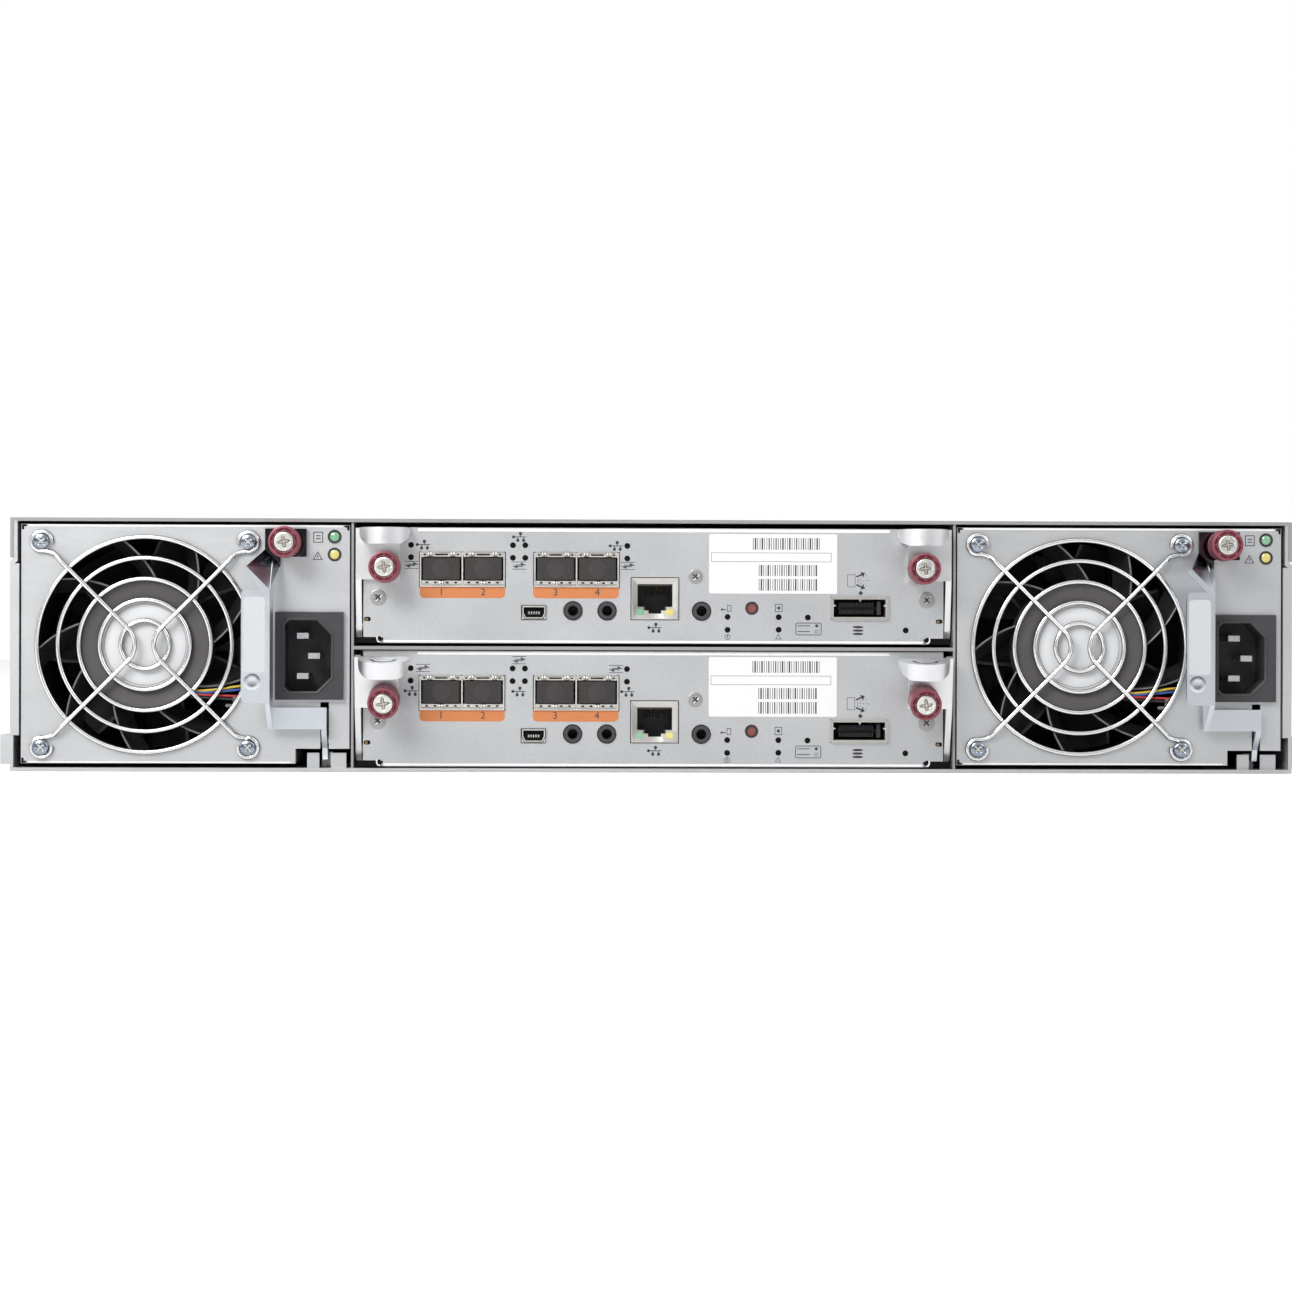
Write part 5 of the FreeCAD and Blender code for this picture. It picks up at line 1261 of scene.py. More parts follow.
    def hub_cover(self) -> None:
        """Grey motor cover with a shallow ring groove, a bare pale disc and two moulded dimples."""
        seat = self.fan_seat("fan_frame")
        mould = self.mould("hub_cover", "black_plastic")
        r, q = self.hub_radius, self.disc_radius
        mould.shell(seat, lathe([0.0, r, r, r - 0.5, r - 1.9, r - 2.5, q + 2.6, q + 0.9, q + 0.3, 0.0],
                                [-0.4, -0.4, 0.2, 0.62, 0.62, 0.4, 0.46, 0.3, 0.14, 0.14], 96), Finish.HUB)
        mould.shell(seat, lathe([0.0, q, q, q - 0.25, 0.0], [0.0, 0.0, 0.24, 0.3, 0.3], 96), Finish.DISC)
        mould.shell(seat, lathe([q - 1.0, q - 1.0, q - 1.12, q - 1.12, q - 1.0], [0.2, 0.33, 0.33, 0.2, 0.2], 96),
                    Finish.HUB)
        for turn in self.dimple_turns:
            mould.shell(seat.moved(*turned(np.array((self.dimple_side, 0.0)), turn), 0.3),
                        lathe([0.0, 1.25, 1.25, 0.95, 0.6, 0.0], [-0.2, -0.2, 0.14, 0.14, 0.04, 0.04], 28), Finish.HUB)
        mould.build()

    def leads(self) -> None:
        """Four insulated leads that run nearly level from the motor to a clip at the bore's right side."""
        seat = self.fan_seat("fan_frame")
        mould = self.mould("fan_leads", "black_plastic")
        for finish, near, far in ((Finish.WIRE_YELLOW, -16.0, -14.5), (Finish.WIRE_BLUE, -16.7, -15.7),
                                  (Finish.WIRE_RED, -17.5, -17.9), (Finish.WIRE_BLACK, -18.5, -19.1)):
            line = smooth_path(((15.5, near + 0.3, 0.3), (20.0, near, 0.5), (26.0, 0.6 * near + 0.4 * far, 0.45),
                                (32.0, far, 0.3), (34.8, far + 0.2, -0.9)), 8)
            mould.shell(seat, tube(line, 0.42, 10), finish)
        mould.slab(seat.moved(31.0, -19.6, -0.6), (1.3, 4.2, 0.4, 3), (0.0, 1.35, 0.2), Finish.EDGE)
        mould.slab(seat.moved(29.6, -21.2, -0.6), (3.6, 1.1, 0.4, 3), (0.0, 1.2, 0.2), Finish.EDGE)
        mould.build()

    def lamps(self) -> None:
        """Green and yellow status lamps with their printed signs."""
        mould = self.mould("lamps", "black_plastic")
        for height, finish in zip(self.lamp_heights, (Finish.GREEN_LENS, Finish.YELLOW_LENS)):
            Lamp().add(mould, self.seat(self.lamp_side, height), finish)
        mould.build()
        signs = self.mould("signs")
        marks = Marks(signs)
        base = self.seat(0.0, 0.0)
        for draw, *spot in ((marks.frame, 45.9, 81.5, 3.4, 3.8, 0.3), (marks.bar, 45.9, 82.0, 1.6, 0.35),
                            (marks.bar, 45.9, 81.0, 1.6, 0.35), (marks.triangle, 45.75, 74.6, 1.75, 0.26),
                            (marks.bar, 45.75, 74.9, 0.3, 1.0)):
            draw(base, *spot)
        signs.build()

    def inlet_lip(self) -> None:
        """Raised lip round the inlet's mouth: round corners on the left, sloped ones on the right."""
        low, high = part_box(f"{self.name}_inlet")
        seat = Seat((low.x + high.x) / 2.0 / MM + self.mouth_side, low.y / MM, (low.z + high.z) / 2.0 / MM)
        mould = self.mould("inlet_lip", "black_plastic")
        (width, tall), cut = self.mouth, self.mouth_cut
        outer = rounded(width + 1.3, tall + 1.3, (cut + 0.4, 1.9, 1.9, cut + 0.4), 2)
        inner = rounded(width - 0.5, tall - 0.5, (cut, 1.5, 1.5, cut), 2)
        mould.shell(seat, layers((outer, -0.2), (outer, 0.16), ((outer + inner) / 2.0, 0.3), (inner, 0.1),
                                 (inner, -9.0), (outer * 0.985, -9.0), (outer, -0.2)), Finish.INLET)
        mould.build()

    def thumbscrew(self) -> None:
        """Captive screw in the handle's pad."""
        Thumbscrew(f"{self.name}_knob", f"{self.name}_thumbscrew", f"{self.name}_thumbscrew",
                   self.seat(self.knob_side, self.knob_height, self.knob_out)).build()

    def grip_film(self) -> None:
        """Pale bare film and a pressed dimple on the grip."""
        low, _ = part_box(f"{self.name}_handle")
        seat = Seat(self.centre + self.grip_side, low.y / MM, self.grip_middle)
        mould = self.mould("grip_film", body="handle")
        mould.slab(seat, (7.5, 26.0, 1.2), (BACK, 0.05), Finish.FILM)
        mould.shell(seat.moved(-0.7, -16.2),
                    lathe([0.0, 2.9, 2.9, 2.3, 1.4, 0.0], [-0.1, -0.1, 0.02, 0.12, 0.05, 0.0], 48), Finish.BRIGHT)
        mould.build()

    def build(self) -> None:
        """Dress the module and make its pieces."""
        self.dress(case=Finish.SHEET, fan_frame=Finish.FAN, fan_guard=Finish.CHROME, fan_rotor=Finish.FAN,
                   inlet=Finish.INLET, inlet_pins=Finish.STEEL, handle=Finish.BAIL, handle_pin=Finish.STEEL,
                   thumbscrew=Finish.BURGUNDY)
        for step in (self.guard, self.guard_screws, self.trim, self.fan, self.hub_cover, self.leads, self.lamps,
                     self.inlet_lip, self.thumbscrew, self.grip_film):
            step()


@dataclass
class Controller(Assembly):
    """One controller: printed face, ports, plugs, lamps, label and two cam latches."""

    card: Finish
    swapped: bool
    latch_turn: float
    pivot_rise: float = 6.0
    pivot_inset: float = 5.0
    knob_side: float = 93.4
    knob_rise: float = 20.2
    knob_out: float = 10.7
    holes: tuple[Pair, ...] = ((-84.8, 34.2), (-84.8, 29.9), (-49.3, 34.2), (-45.0, 34.2), (-49.3, 29.8),
                               (-45.0, 29.8), (-9.4, 34.1), (-9.4, 29.7), (25.7, 9.4), (25.7, 4.9), (43.6, 9.4),
                               (43.6, 5.0), (53.8, 9.3), (88.1, 4.9))
    strips: tuple[Pair, ...] = ((-81.7, -52.0), (-42.2, -12.3))
    strip_run: Pair = (15.7, 19.9)
    plug_places: tuple[float, ...] = (-74.2, -59.6, -34.4, -19.8)
    plug_rise: float = 25.9
    plug_size: Pair = (12.9, 7.7)
    network: Pair = (0.3, 15.7)
    mini: Pair = (-41.9, 10.9)
    link: Pair = (71.9, 12.6)
    scoop_side: float = 93.7
    scoop_rise: float = 34.0
    scoop_out: float = 11.0
    jacks: tuple[float, ...] = (-28.3, -16.4, 16.6)
    jack_rise: float = 11.4
    button: Pair = (34.2, 12.5)
    screws: tuple[Pair, ...] = ((-96.2, 15.9), (95.5, 15.5), (14.5, 23.5))
    screw_radii: tuple[float, ...] = (2.85, 2.85, 2.55)
    pins: tuple[Pair, ...] = ((-99.9, 8.3), (99.8, 8.0))
    label_place: Pair = (41.6, 28.0)
    label_size: Pair = (44.8, 20.8)
    label_proud: float = 0.08
    stripe_rows: tuple[tuple[float, ...], ...] = ((34.2, 59.0, 35.0, 4.1), (36.3, 57.3, 25.7, 3.9),
                                                  (36.3, 57.2, 20.7, 4.1))
    stripe_pitch: float = 0.8
    stripe_widths: tuple[float, ...] = (0.24, 0.52, 0.2, 0.4)
    contacts: int = 8
    contact_pitch: float = 1.02
    hook: Pair = (95.9, 1.25)
    bend_highlight_widths: Pair = (165.0, 188.4)
    face: float = field(init=False)
    foot: float = field(init=False)

    def __post_init__(self) -> None:
        """Read the module's face and foot from its tray."""
        low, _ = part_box(f"{self.name}_tray")
        self.face = low.y / MM
        self.foot = low.z / MM

    def seat(self, x: float = 0.0, rise: float = 0.0, out: float = 0.0) -> Seat:
        """A spot on the face, its height counted from the module's underside."""
        return Seat(x, self.face - out, self.foot + rise)

    def latch(self, side: float, rise: float, out: float) -> Seat:
        """A spot on the latches, counted from their studs and turned with them."""
        studs = Seat(0.0, self.face + self.pivot_inset, self.foot + self.pivot_rise, self.latch_turn)
        return studs.moved(side, rise, out)

    def latch_knobs(self) -> None:
        """Captive screws of both latches, standing square to the latch plates."""
        for side, label in ((-1, "left"), (1, "right")):
            Thumbscrew(f"{self.name}_knob_{label}", f"{self.name}_screw_{label}", f"{self.name}_screw_{label}",
                       self.latch(side * self.knob_side, self.knob_rise, self.knob_out)).build()

    def scoop_marks(self) -> None:
        """Plain curved double arrow on top of each finger scoop."""
        for side, label in ((-1, "left"), (1, "right")):
            mould = self.mould(f"scoop_mark_{label}", body=f"latch_{label}")
            marks = Marks(mould)
            spot = self.latch(side * self.scoop_side, self.scoop_rise, self.scoop_out)
            top = Seat(spot.x, spot.y, spot.z, self.latch_turn - 90.0)
            marks.arc(top, 4.2, 1.0, 205.0, 335.0)
            for end, turn in ((205.0, 120.0), (335.0, 60.0)):
                marks.arrow(top, *(turned(np.array((4.2, 0.0)), end) + np.array((0.0, 0.6))), 3.0, turn)
            mould.build()

    def face_screws(self) -> None:
        """Flush cross screws of the face."""
        mould = self.mould("face_screws", "bright_wire")
        for place, radius in zip(self.screws, self.screw_radii):
            CrossScrew(radius, 0.42, 0.12, 1.7).add(mould, self.seat(*place), Finish.GREY_SCREW)
        mould.build()

    def lamp_holes(self) -> None:
        """Small round lamp holes, each drawn as a near-black disc: painted shade in the hole."""
        mould = self.mould("lamp_holes", "black_plastic")
        for x, rise in self.holes:
            mould.shell(self.seat(x, rise), lathe([0.0, 1.02, 1.02, 0.85, 0.0], [-0.1, -0.1, 0.05, 0.03, 0.0], 28),
                        Finish.HOLE_SHADE)
        mould.build()

    def port_strips(self) -> None:
        """Orange strips under the port pairs, numbered plainly."""
        mould = self.mould("port_strips")
        low, high = self.strip_run
        for left, right in self.strips:
            mould.slab(self.seat((left + right) / 2.0, (low + high) / 2.0),
                       (right - left, high - low, (0.4, 0.4, 1.6, 1.6)), (BACK, 0.06), Finish.ORANGE)
        mould.build()
        for number, x in enumerate(self.plug_places, 1):
            numeral(str(number), 2.5, self.seat(x, low + 0.95, 0.07), f"{self.name}_number_{number}",
                    f"{self.name}_module", Finish.INK)

    def plugs(self) -> None:
        """Dust plugs, each with a faint moulded ring and a shallow dish, in place of their plain node."""
        mould = self.mould("dust_plugs", "dark_plastic")
        width, tall = self.plug_size
        for x in self.plug_places:
            seat = self.seat(x, self.plug_rise)
            mould.slab(seat, (width, tall, 0.5), (-8.0, 1.2, 0.25), Finish.PLUG)
            ring = band(rounded(9.2, 7.0, 3.3, 8), rounded(8.8, 6.6, 3.1, 8), BACK, 0.05)
            dish = lathe([0.0, 3.2, 3.2, 2.9, 0.0], [BACK, BACK, 0.04, 0.07, 0.02], 36)
            for grid in (ring, dish):
                mould.shell(seat.moved(out=1.2), grid, Finish.PLUG_RING)
        self.swap(mould, "port_plugs")

    def cage_springs(self) -> None:
        """Bright spring strips along the top and bottom of each port, with their slots drawn in near-black: painted
        shade.
        """
        metal = self.mould("cage_springs", "nickel_shell")
        slots = self.mould("cage_slots", "black_plastic")
        for x in self.plug_places:
            for rise, tall, curls, gaps in ((30.95, 1.9, (-4.0, 4.0), ((0.0, 4.6), (-5.8, 0.9), (5.8, 0.9))),
                                            (21.0, 1.8, (0.0,), ((-5.0, 1.0), (-2.1, 1.0), (2.1, 1.0), (5.0, 1.0)))):
                seat = self.seat(x, rise)
                away = 1.0 if rise > self.plug_rise else -1.0
                metal.slab(seat, (14.0, tall, 0.25, 3), (-1.5, 0.35, 0.15), Finish.NICKEL)
                lip = smooth_path(((-6.7, 0.62 * away, 0.45), (-3.0, 0.7 * away, 0.7), (0.0, 0.66 * away, 0.8),
                                   (3.0, 0.7 * away, 0.7), (6.7, 0.62 * away, 0.45)), 5)
                metal.shell(seat, tube(lip, 0.3, 8), Finish.BEZEL)
                for curl in curls:
                    loop = smooth_path(((curl, 0.75 * away, 0.3), (curl, 0.3 * away, 1.0), (curl, -0.3 * away, 0.95),
                                        (curl, -0.85 * away, 0.2)), 5)
                    for shift in (-0.45, 0.45):
                        metal.shell(seat, tube(loop + np.array((shift, 0.0, 0.0)), 0.36, 8), Finish.BEZEL)
                for middle, width in gaps:
                    slots.slab(seat.moved(middle, -0.1 * away), (width, 0.55, 0.2, 3), (0.2, 0.42), Finish.HOLE_SHADE)
        metal.build()
        slots.build()

    def network_socket(self) -> None:
        """Sloped pale bezel with a stepped mouth, contacts and two small lamps."""
        right, up = self.network
        seat = self.seat(right, up)
        half = np.array(((6.1, 5.1), (6.1, -2.85), (3.9, -2.85), (3.9, -4.1), (2.25, -4.1), (2.25, -5.2)))
        rim = np.array(((8.05, 7.05), (8.05, -2.85), (8.05, -5.0), (8.05, -7.05), (3.9, -7.05), (2.25, -7.05)))
        flip = np.array((-1.0, 1.0))
        inner = np.concatenate((half, half[::-1] * flip))
        outer = np.concatenate((rim, rim[::-1] * flip))
        bezel = self.mould("socket_bezel", "nickel_shell")
        bezel.shell(seat, layers((outer, 0.0), (outer, 0.66), (0.93 * outer + 0.07 * inner, 0.7), (inner, 0.2),
                                 (inner, -0.6), (outer, 0.0)), Finish.BEZEL)
        bezel.build(12.0)
        wires = self.mould("socket_contacts", "plated_contact")
        for index in range(self.contacts):
            x = (index - (self.contacts - 1) / 2.0) * self.contact_pitch
            line = smooth_path(((x, 4.3, -1.2), (x, 3.6, -2.6), (x, 2.2, -5.2), (x, 1.2, -8.5)), 5)
            wires.shell(seat, tube(line, 0.2, 6), Finish.BRASS)
        wires.build()
        lamps = self.mould("socket_lamps")
        for side, finish in ((-5.2, Finish.GREEN_LENS), (5.2, Finish.YELLOW_LENS)):
            lamps.slab(seat.moved(side, -4.75, 0.45), (2.5, 2.1, 0.35), (-0.6, 0.12, 0.12), finish)
        lamps.build()

    def mini_socket(self) -> None:
        """Small plated socket, wide above and narrow below, round a mouth with a contact block; a near-black band
        round it and a near-black back in the mouth are painted shade.
        """
        seat = self.seat(*self.mini)
        shape = np.array(((4.0, 2.15), (-4.0, 2.15), (-4.0, -0.35), (-3.1, -2.2), (3.1, -2.2), (4.0, -0.35)))
        metal = self.mould("mini_socket", "nickel_shell")
        metal.shell(seat, band(shape, shape * np.array((0.905, 0.83)), -2.0, 0.75), Finish.CAP)
        # near-black band round the socket: painted shade of the gap
        metal.shell(seat, band(shape * np.array((1.06, 1.1)), shape, -0.1, 0.66), Finish.RECESS_SHADE)
        for side in (-1.0, 1.0):
            corner = np.array(((4.15, -0.45), (4.15, -2.4), (3.1, -2.4))) * np.array((side, 1.0))
            metal.shell(seat, prism(corner, 0.5, 0.64), Finish.FACE)
        metal.build()
        dark = self.mould("mini_mouth", "black_plastic")
        # near-black back of the mouth: painted shade
        dark.slab(seat, (7.3, 3.7, 0.1, 2), (-7.5, -0.5), Finish.HOLE_SHADE)
        dark.slab(seat.moved(0.0, -0.35), (4.6, 1.3, 0.2, 3), (-2.0, 0.1, 0.1), Finish.PLUG)
        for index in range(5):
            dark.slab(seat.moved((index - 2.0) * 0.85, -0.2), (0.34, 0.8, 0.1, 2), (0.0, 0.2), Finish.NICKEL)
        dark.build()

    def jack_rings(self) -> None:
        """Raised rings of the round jacks and the collar of the push button."""
        rings = self.mould("jack_rings", "black_plastic")
        for x in self.jacks:
            rings.shell(self.seat(x, self.jack_rise, 0.6),
                        band(circle(3.0, 48), circle(1.85, 48), -0.1, 0.14), Finish.INLET)
        rings.shell(self.seat(*self.button), band(circle(2.35, 40), circle(1.7, 40), -0.5, 0.08), Finish.BLACK)
        rings.build()

    def plain_label(self) -> None:
        """White label with rows of plain stripes and an empty box."""
        mould = self.mould("label")
        mould.slab(self.seat(*self.label_place), (*self.label_size, 0.5), (BACK, self.label_proud), Finish.WHITE)
        marks = Marks(mould, Finish.INK, 0.02)
        base = self.seat(out=self.label_proud)
        for left, right, rise, tall in self.stripe_rows:
            for index in range(int((right - left) / self.stripe_pitch)):
                wide = self.stripe_widths[(index * index + index // 3) % 4]
                marks.bar(base, left + self.stripe_pitch * (index + 0.5), rise, wide, tall)
        marks.frame(base, 40.95, 30.3, 42.1, 3.2, 0.14)
        mould.build()

    def signs(self) -> None:
        """Plain signs beside the ports and lamps."""
        mould = self.mould("signs")
        marks = Marks(mould)
        base = self.seat()
        upper = ((-80.5, 34.3), (-47.0, 37.1), (-13.3, 34.1))
        lower = ((-84.6, 27.2), (-47.1, 27.1), (-9.1, 27.1))
        for spots, first in ((upper, True), (lower, False)):
            draw = marks.exchange if first == self.swapped else marks.network
            for right, up in spots:
                draw(base, right, up - (0.9 if self.swapped and not first else 0.0))
        for draw, *spot in ((marks.network, 0.3, 5.6), (marks.frame, 43.6, 12.6, 2.6, 2.8, 0.22),
                            (marks.bar, 43.6, 12.6, 1.0, 1.0), (marks.triangle, 43.5, 2.3, 1.1, 0.18),
                            (marks.frame, 54.05, 5.3, 9.1, 4.4, 0.25, 0.7), (marks.dot, 56.9, 6.4, 0.55),
                            (marks.ring, 56.9, 4.4, 0.6, 0.16), (marks.bar, 52.4, 6.4, 4.4, 0.28),
                            (marks.bar, 52.4, 4.4, 4.4, 0.28), (marks.ring, 25.7, 2.4, 1.0, 0.2),
                            (marks.bar, 25.7, 2.5, 0.3, 1.0), (marks.frame, 26.3, 12.4, 1.5, 2.3, 0.2),
                            (marks.arrow, 24.2, 12.0, 2.0, 180.0), (marks.frame, 69.0, 22.2, 2.8, 4.4, 0.16)):
            draw(base, *spot)
        for turn in (0.42, -0.42):
            marks.arrow(base, 72.3, 22.2 + 5.0 * math.sin(turn), 3.4, math.degrees(turn))
            for step in range(4):
                marks.dot(base, 71.4 + 0.95 * step, 22.2 + turn * (1.3 + 0.95 * step), 0.17)
        for step in range(5):
            marks.dot(base, 71.4 + 0.95 * step, 22.2, 0.17)
        marks.slab(base.moved(72.3, 17.9), circle(0.85, 4))
        for rise in (3.6, 4.8, 6.0):
            marks.slab(base.moved(71.4, rise), circle(1.0, 28) * np.array((1.9, 0.42)))
        mould.build()

    def corner_hooks(self) -> None:
        """Rolled hook at each lower corner of the face, coloured with the painted bend highlight, and near-black marks
        for the gap and slot beside it: painted shade.
        """
        mould = self.mould("corner_hooks", "zinc_sheet")
        for side in (-1.0, 1.0):
            seat = self.seat(side * self.hook[0], self.hook[1])
            # near-black plates in the corner gap and round the hook: painted shade
            mould.slab(self.seat(99.9 * side, 1.0), (8.0, 2.1, 0.3, 3), (-0.3, 0.04), Finish.HOLE_SHADE)
            mould.slab(seat, (1.7, 2.2, 0.5, 3), (-0.3, 0.05), Finish.HOLE_SHADE)
            hook = np.array(((0.55, 1.1, 0.2), (0.6, 0.1, 0.2), (0.25, -0.75, 0.2), (-0.5, -0.85, 0.2)))
            mould.shell(seat, tube(smooth_path(hook * np.array((side, 1.0, 1.0)), 5), 0.26, 8), Finish.BEND)
        mould.build()

    def bend_highlights(self) -> None:
        """Pale strips along the top and bottom of the face: painted highlights of its bent edges."""
        low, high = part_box(f"{self.name}_tray")
        middle = (low.x + high.x) / 2.0 / MM
        mould = self.mould("painted_bend_highlights", "zinc_sheet")
        head = (high.z - low.z) / MM
        for rise, tall, wide in zip((head - 0.8, 0.6), (1.1, 0.8), self.bend_highlight_widths):
            mould.slab(self.seat(middle, rise), (wide, tall, 0.4, 4), (-0.1, 0.1, 0.08), Finish.BEND)
        mould.build()

    def link_socket(self) -> None:
        """Rounded rim, two rows of contact fingers, a dark block and three bright spring tips."""
        seat = self.seat(*self.link)
        rim = self.mould("link_rim", "nickel_shell")
        rim.shell(seat, band(rounded(20.6, 8.5, 1.4, 8), rounded(18.6, 6.6, 0.5, 8), -0.4, 0.85),
                  Finish.BEZEL)
        for right, up, turn in ((0.2, 3.1, -90.0), (-9.1, 0.9, 0.0), (9.1, 0.9, 180.0)):
            tip = turned(np.array(((-0.5, -0.75), (0.9, 0.0), (-0.5, 0.75))), turn)
            rim.shell(seat.moved(right, up), prism(tip, -0.6, 0.5), Finish.CAP)
        rim.build()
        inner = self.mould("link_fingers", "black_plastic")
        # near-black back wall of the opening: painted shade
        inner.slab(seat, (18.0, 6.0, 0.3, 2), (-9.0, -8.0), Finish.HOLE_SHADE)
        for row in (-1.0, 1.0):
            for index in range(17):
                inner.slab(seat.moved(-6.7 + 0.72 * index, 1.3 * row), (0.3, 1.5, 0.1, 2), (-5.0, -1.8),
                           Finish.BLACK)
        inner.slab(seat.moved(6.9, 0.1), (1.4, 4.8, 0.2, 3), (-5.0, -1.5, 0.1), Finish.PLUG)
        inner.build()

    def edge_pins(self) -> None:
        """Brass guide pins in notches at the face's edges; each notch is a near-black mark: painted shade."""
        mould = self.mould("edge_pins", "plated_contact")
        for x, rise in self.pins:
            mould.slab(self.seat(x, rise), (2.3, 1.5, 0.6), (-0.2, 0.05), Finish.HOLE_SHADE)
            mould.shell(self.seat(x - 0.25, rise - 0.15),
                        lathe([0.0, 0.6, 0.6, 0.4, 0.0], [-0.3, -0.3, 0.1, 0.3, 0.3], 28), Finish.DULL_BRASS)
        mould.build()

    def build(self) -> None:
        """Dress the module and make its pieces."""
        self.dress(tray=Finish.FACE, card=self.card, port_shells=Finish.NICKEL, port_inserts=Finish.BLACK,
                   port_plugs=Finish.PLUG, button=Finish.BUTTON, latch_left=Finish.LATCH, latch_right=Finish.LATCH,
                   screw_left=Finish.BURGUNDY, screw_right=Finish.BURGUNDY)
        for step in (self.latch_knobs, self.face_screws, self.lamp_holes, self.port_strips, self.plugs,
                     self.cage_springs, self.network_socket, self.mini_socket, self.jack_rings, self.scoop_marks,
                     self.plain_label, self.signs, self.edge_pins, self.corner_hooks, self.bend_highlights, self.link_socket):
            step()


@dataclass
class Chassis:
    """Sheet-metal shell, drive cage, blanks and midplane."""

    sheet: tuple[str, ...] = ("base_tray", "drive_cage", "rack_ears", "rail_stops")
    darker: tuple[str, ...] = ("top_cover", "partition_left", "partition_right", "controller_shelf")
    columns: int = 4
    rows: int = 3

    def build(self) -> None:
        """Dress the CAD nodes."""
        for node in self.sheet:
            Paint.dress(node, Finish.SHEET)
        for node in self.darker:
            Paint.dress(node, Finish.COVER)
        Paint.dress("midplane_board", Finish.BOARD)
        Paint.dress("midplane_sockets", Finish.BLACK)
        for column in range(1, self.columns + 1):
            for row in range(1, self.rows + 1):
                Paint.dress(f"bay_blank_{column}{row}", Finish.BLANK)


# -------------------------------------------------------------------- studio


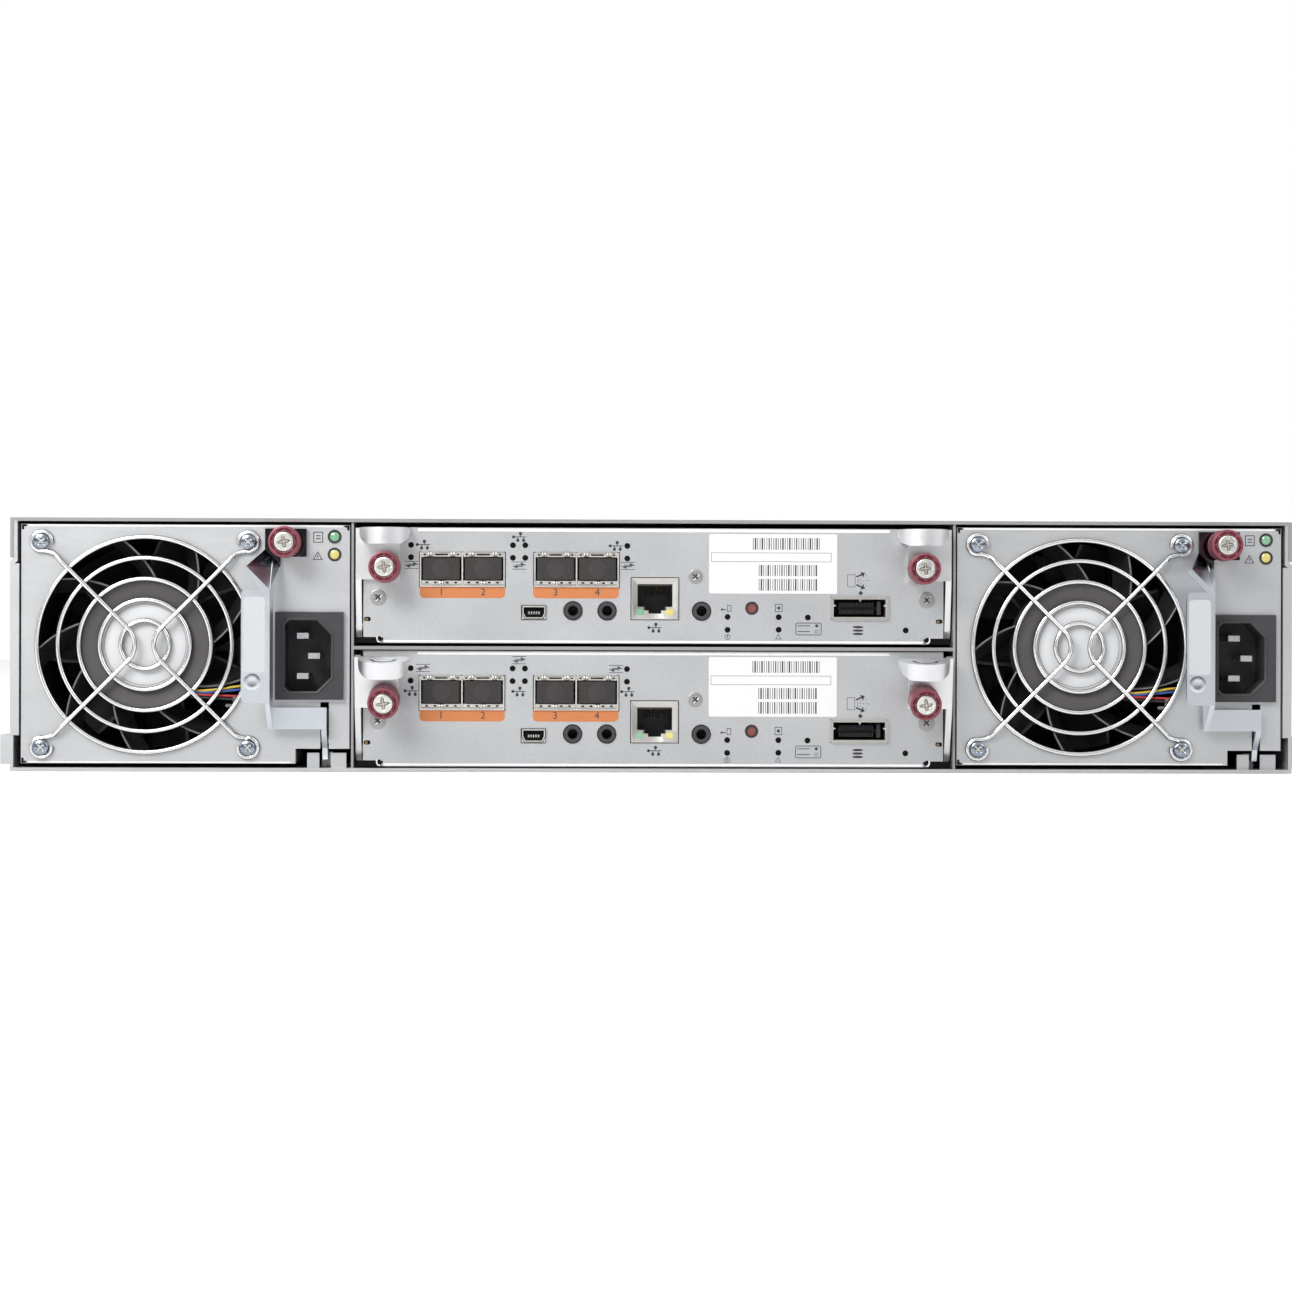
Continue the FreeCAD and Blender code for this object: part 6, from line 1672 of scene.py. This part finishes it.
@dataclass
class Studio:
    """Pale floor, soft lamps and the camera."""

    camera_place: tuple[float, float, float] = (-0.0305, -1.3935, 0.0455)
    camera_yaw: float = 1.424
    camera_pitch: float = -0.078
    camera_roll: float = 0.174
    lens: float = 89.04
    room: Colour = (0.10, 0.103, 0.108)
    fill: Colour = (0.52, 0.52, 0.53)
    lamps: tuple[tuple[tuple[float, float, float], float, float], ...] = (
        ((-1.0, -1.7, 1.25), 1.2, 41.0), ((1.9, -2.0, 1.3), 1.4, 9.0), ((0.0, 0.3, 2.6), 2.2, 15.0))
    sky: Colour = (0.66, 0.665, 0.675)

    def floor(self) -> None:
        """Floor as one wide grid, pale and a little brighter to the camera."""
        side = np.linspace(-6.0, 6.0, 3)
        x, y = np.meshgrid(side, side)
        points = np.stack((x, y, 0.0 * x - 0.0002), axis=-1).reshape(-1, 3)
        index = np.arange(9).reshape(3, 3)
        quads = np.stack((index[:-1, :-1], index[:-1, 1:], index[1:, 1:], index[1:, :-1]), axis=-1).reshape(-1, 4)
        mesh = bpy.data.meshes.new("floor")
        mesh.from_pydata(points, [], quads.tolist())
        tree = Tree("pale_floor")
        seen = tree.node("ShaderNodeLightPath", output="Is Camera Ray")
        tooth = tree.noise(0.02, 2.0)
        mesh.materials.append(tree.surface(Base_Color=tree.mix(tooth, (0.80, 0.80, 0.80), (0.83, 0.83, 0.83)),
                                           Roughness=0.9, Emission_Strength=0.45,
                                           Emission_Color=tree.mix(seen, (0.0, 0.0, 0.0), (1.0, 1.0, 1.0))))
        put("floor", mesh)

    def world(self) -> None:
        """White to the camera.

        A mirror sees a dim room towards -Y, white the other way and a grey sky above. All else gets an even fill.
        """
        tree = Tree("studio", bpy.data.worlds.new("studio"))
        bpy.context.scene.world = tree.owner
        seen, through, glossy = (tree.node("ShaderNodeLightPath", output=f"Is {ray} Ray")
                                 for ray in ("Camera", "Transmission", "Glossy"))
        behind, above = (tree.node("ShaderNodeMapRange", None, {"Value": tree.axis("Generated", name),
                                                                "From Min": start, "From Max": stop})
                         for name, start, stop in (("Y", -0.75, -0.1), ("Z", 0.2, 0.55)))
        wall = tree.mix(behind, self.room, (1.0, 1.0, 1.0))
        colour = tree.mix(glossy, self.fill, tree.mix(above, wall, self.sky))
        soft, white = (tree.node("ShaderNodeBackground", None, {"Color": tone, "Strength": 1.0})
                       for tone in (colour, (1.0, 1.0, 1.0, 1.0)))
        plain = seen.maths("MAXIMUM", seen, through)
        tree.finish(tree.node("ShaderNodeMixShader", None, {0: plain, 1: soft, 2: white}), "World")

    def light(self) -> None:
        """Large area lamps aimed at the face."""
        for number, (place, size, power) in enumerate(self.lamps, 1):
            data = bpy.data.lights.new(f"soft_lamp_{number}", "AREA")
            data.shape = "RECTANGLE"
            data.size = size
            data.size_y = size * 0.7
            data.energy = power
            lamp = put(data.name, data)
            lamp.location = place
            aim = Vector((0.0, -0.15, 0.05)) - Vector(place)
            lamp.rotation_euler = aim.to_track_quat("-Z", "Y").to_euler()

    def camera(self) -> None:
        """Camera from its place, yaw, pitch and roll."""
        data = bpy.data.cameras.new("front_view")
        data.lens = self.lens
        data.sensor_width = 36.0
        camera = put("front_view", data)
        yaw, pitch, roll = (math.radians(v) for v in (self.camera_yaw, self.camera_pitch, self.camera_roll))
        ahead = Vector((math.sin(yaw) * math.cos(pitch), math.cos(yaw) * math.cos(pitch), math.sin(pitch)))
        right = ahead.cross(Vector((0.0, 0.0, 1.0))).normalized()
        up = right.cross(ahead)
        turned = math.cos(roll) * right + math.sin(roll) * up
        upright = turned.cross(ahead)
        spin = Matrix((turned, upright, -ahead)).transposed()
        camera.matrix_world = Matrix.Translation(Vector(self.camera_place)) @ spin.to_4x4()
        bpy.context.scene.camera = camera

    def build(self) -> None:
        """Set the whole studio."""
        self.floor()
        self.world()
        self.light()
        self.camera()
        bpy.context.scene.view_settings.view_transform = "Standard"


def main() -> None:
    """Build the studio and every sub-assembly in order."""
    logging.basicConfig(level=logging.INFO, format="%(name)s %(message)s")
    Studio().build()
    Chassis().build()
    for name in ("power_left", "power_right"):
        PowerModule(name).build()
    Controller("controller_lower", Finish.CARD_LOWER, swapped=True, latch_turn=11.0).build()
    Controller("controller_upper", Finish.CARD_UPPER, swapped=False, latch_turn=0.0).build()


if __name__ == "__main__":
    main()
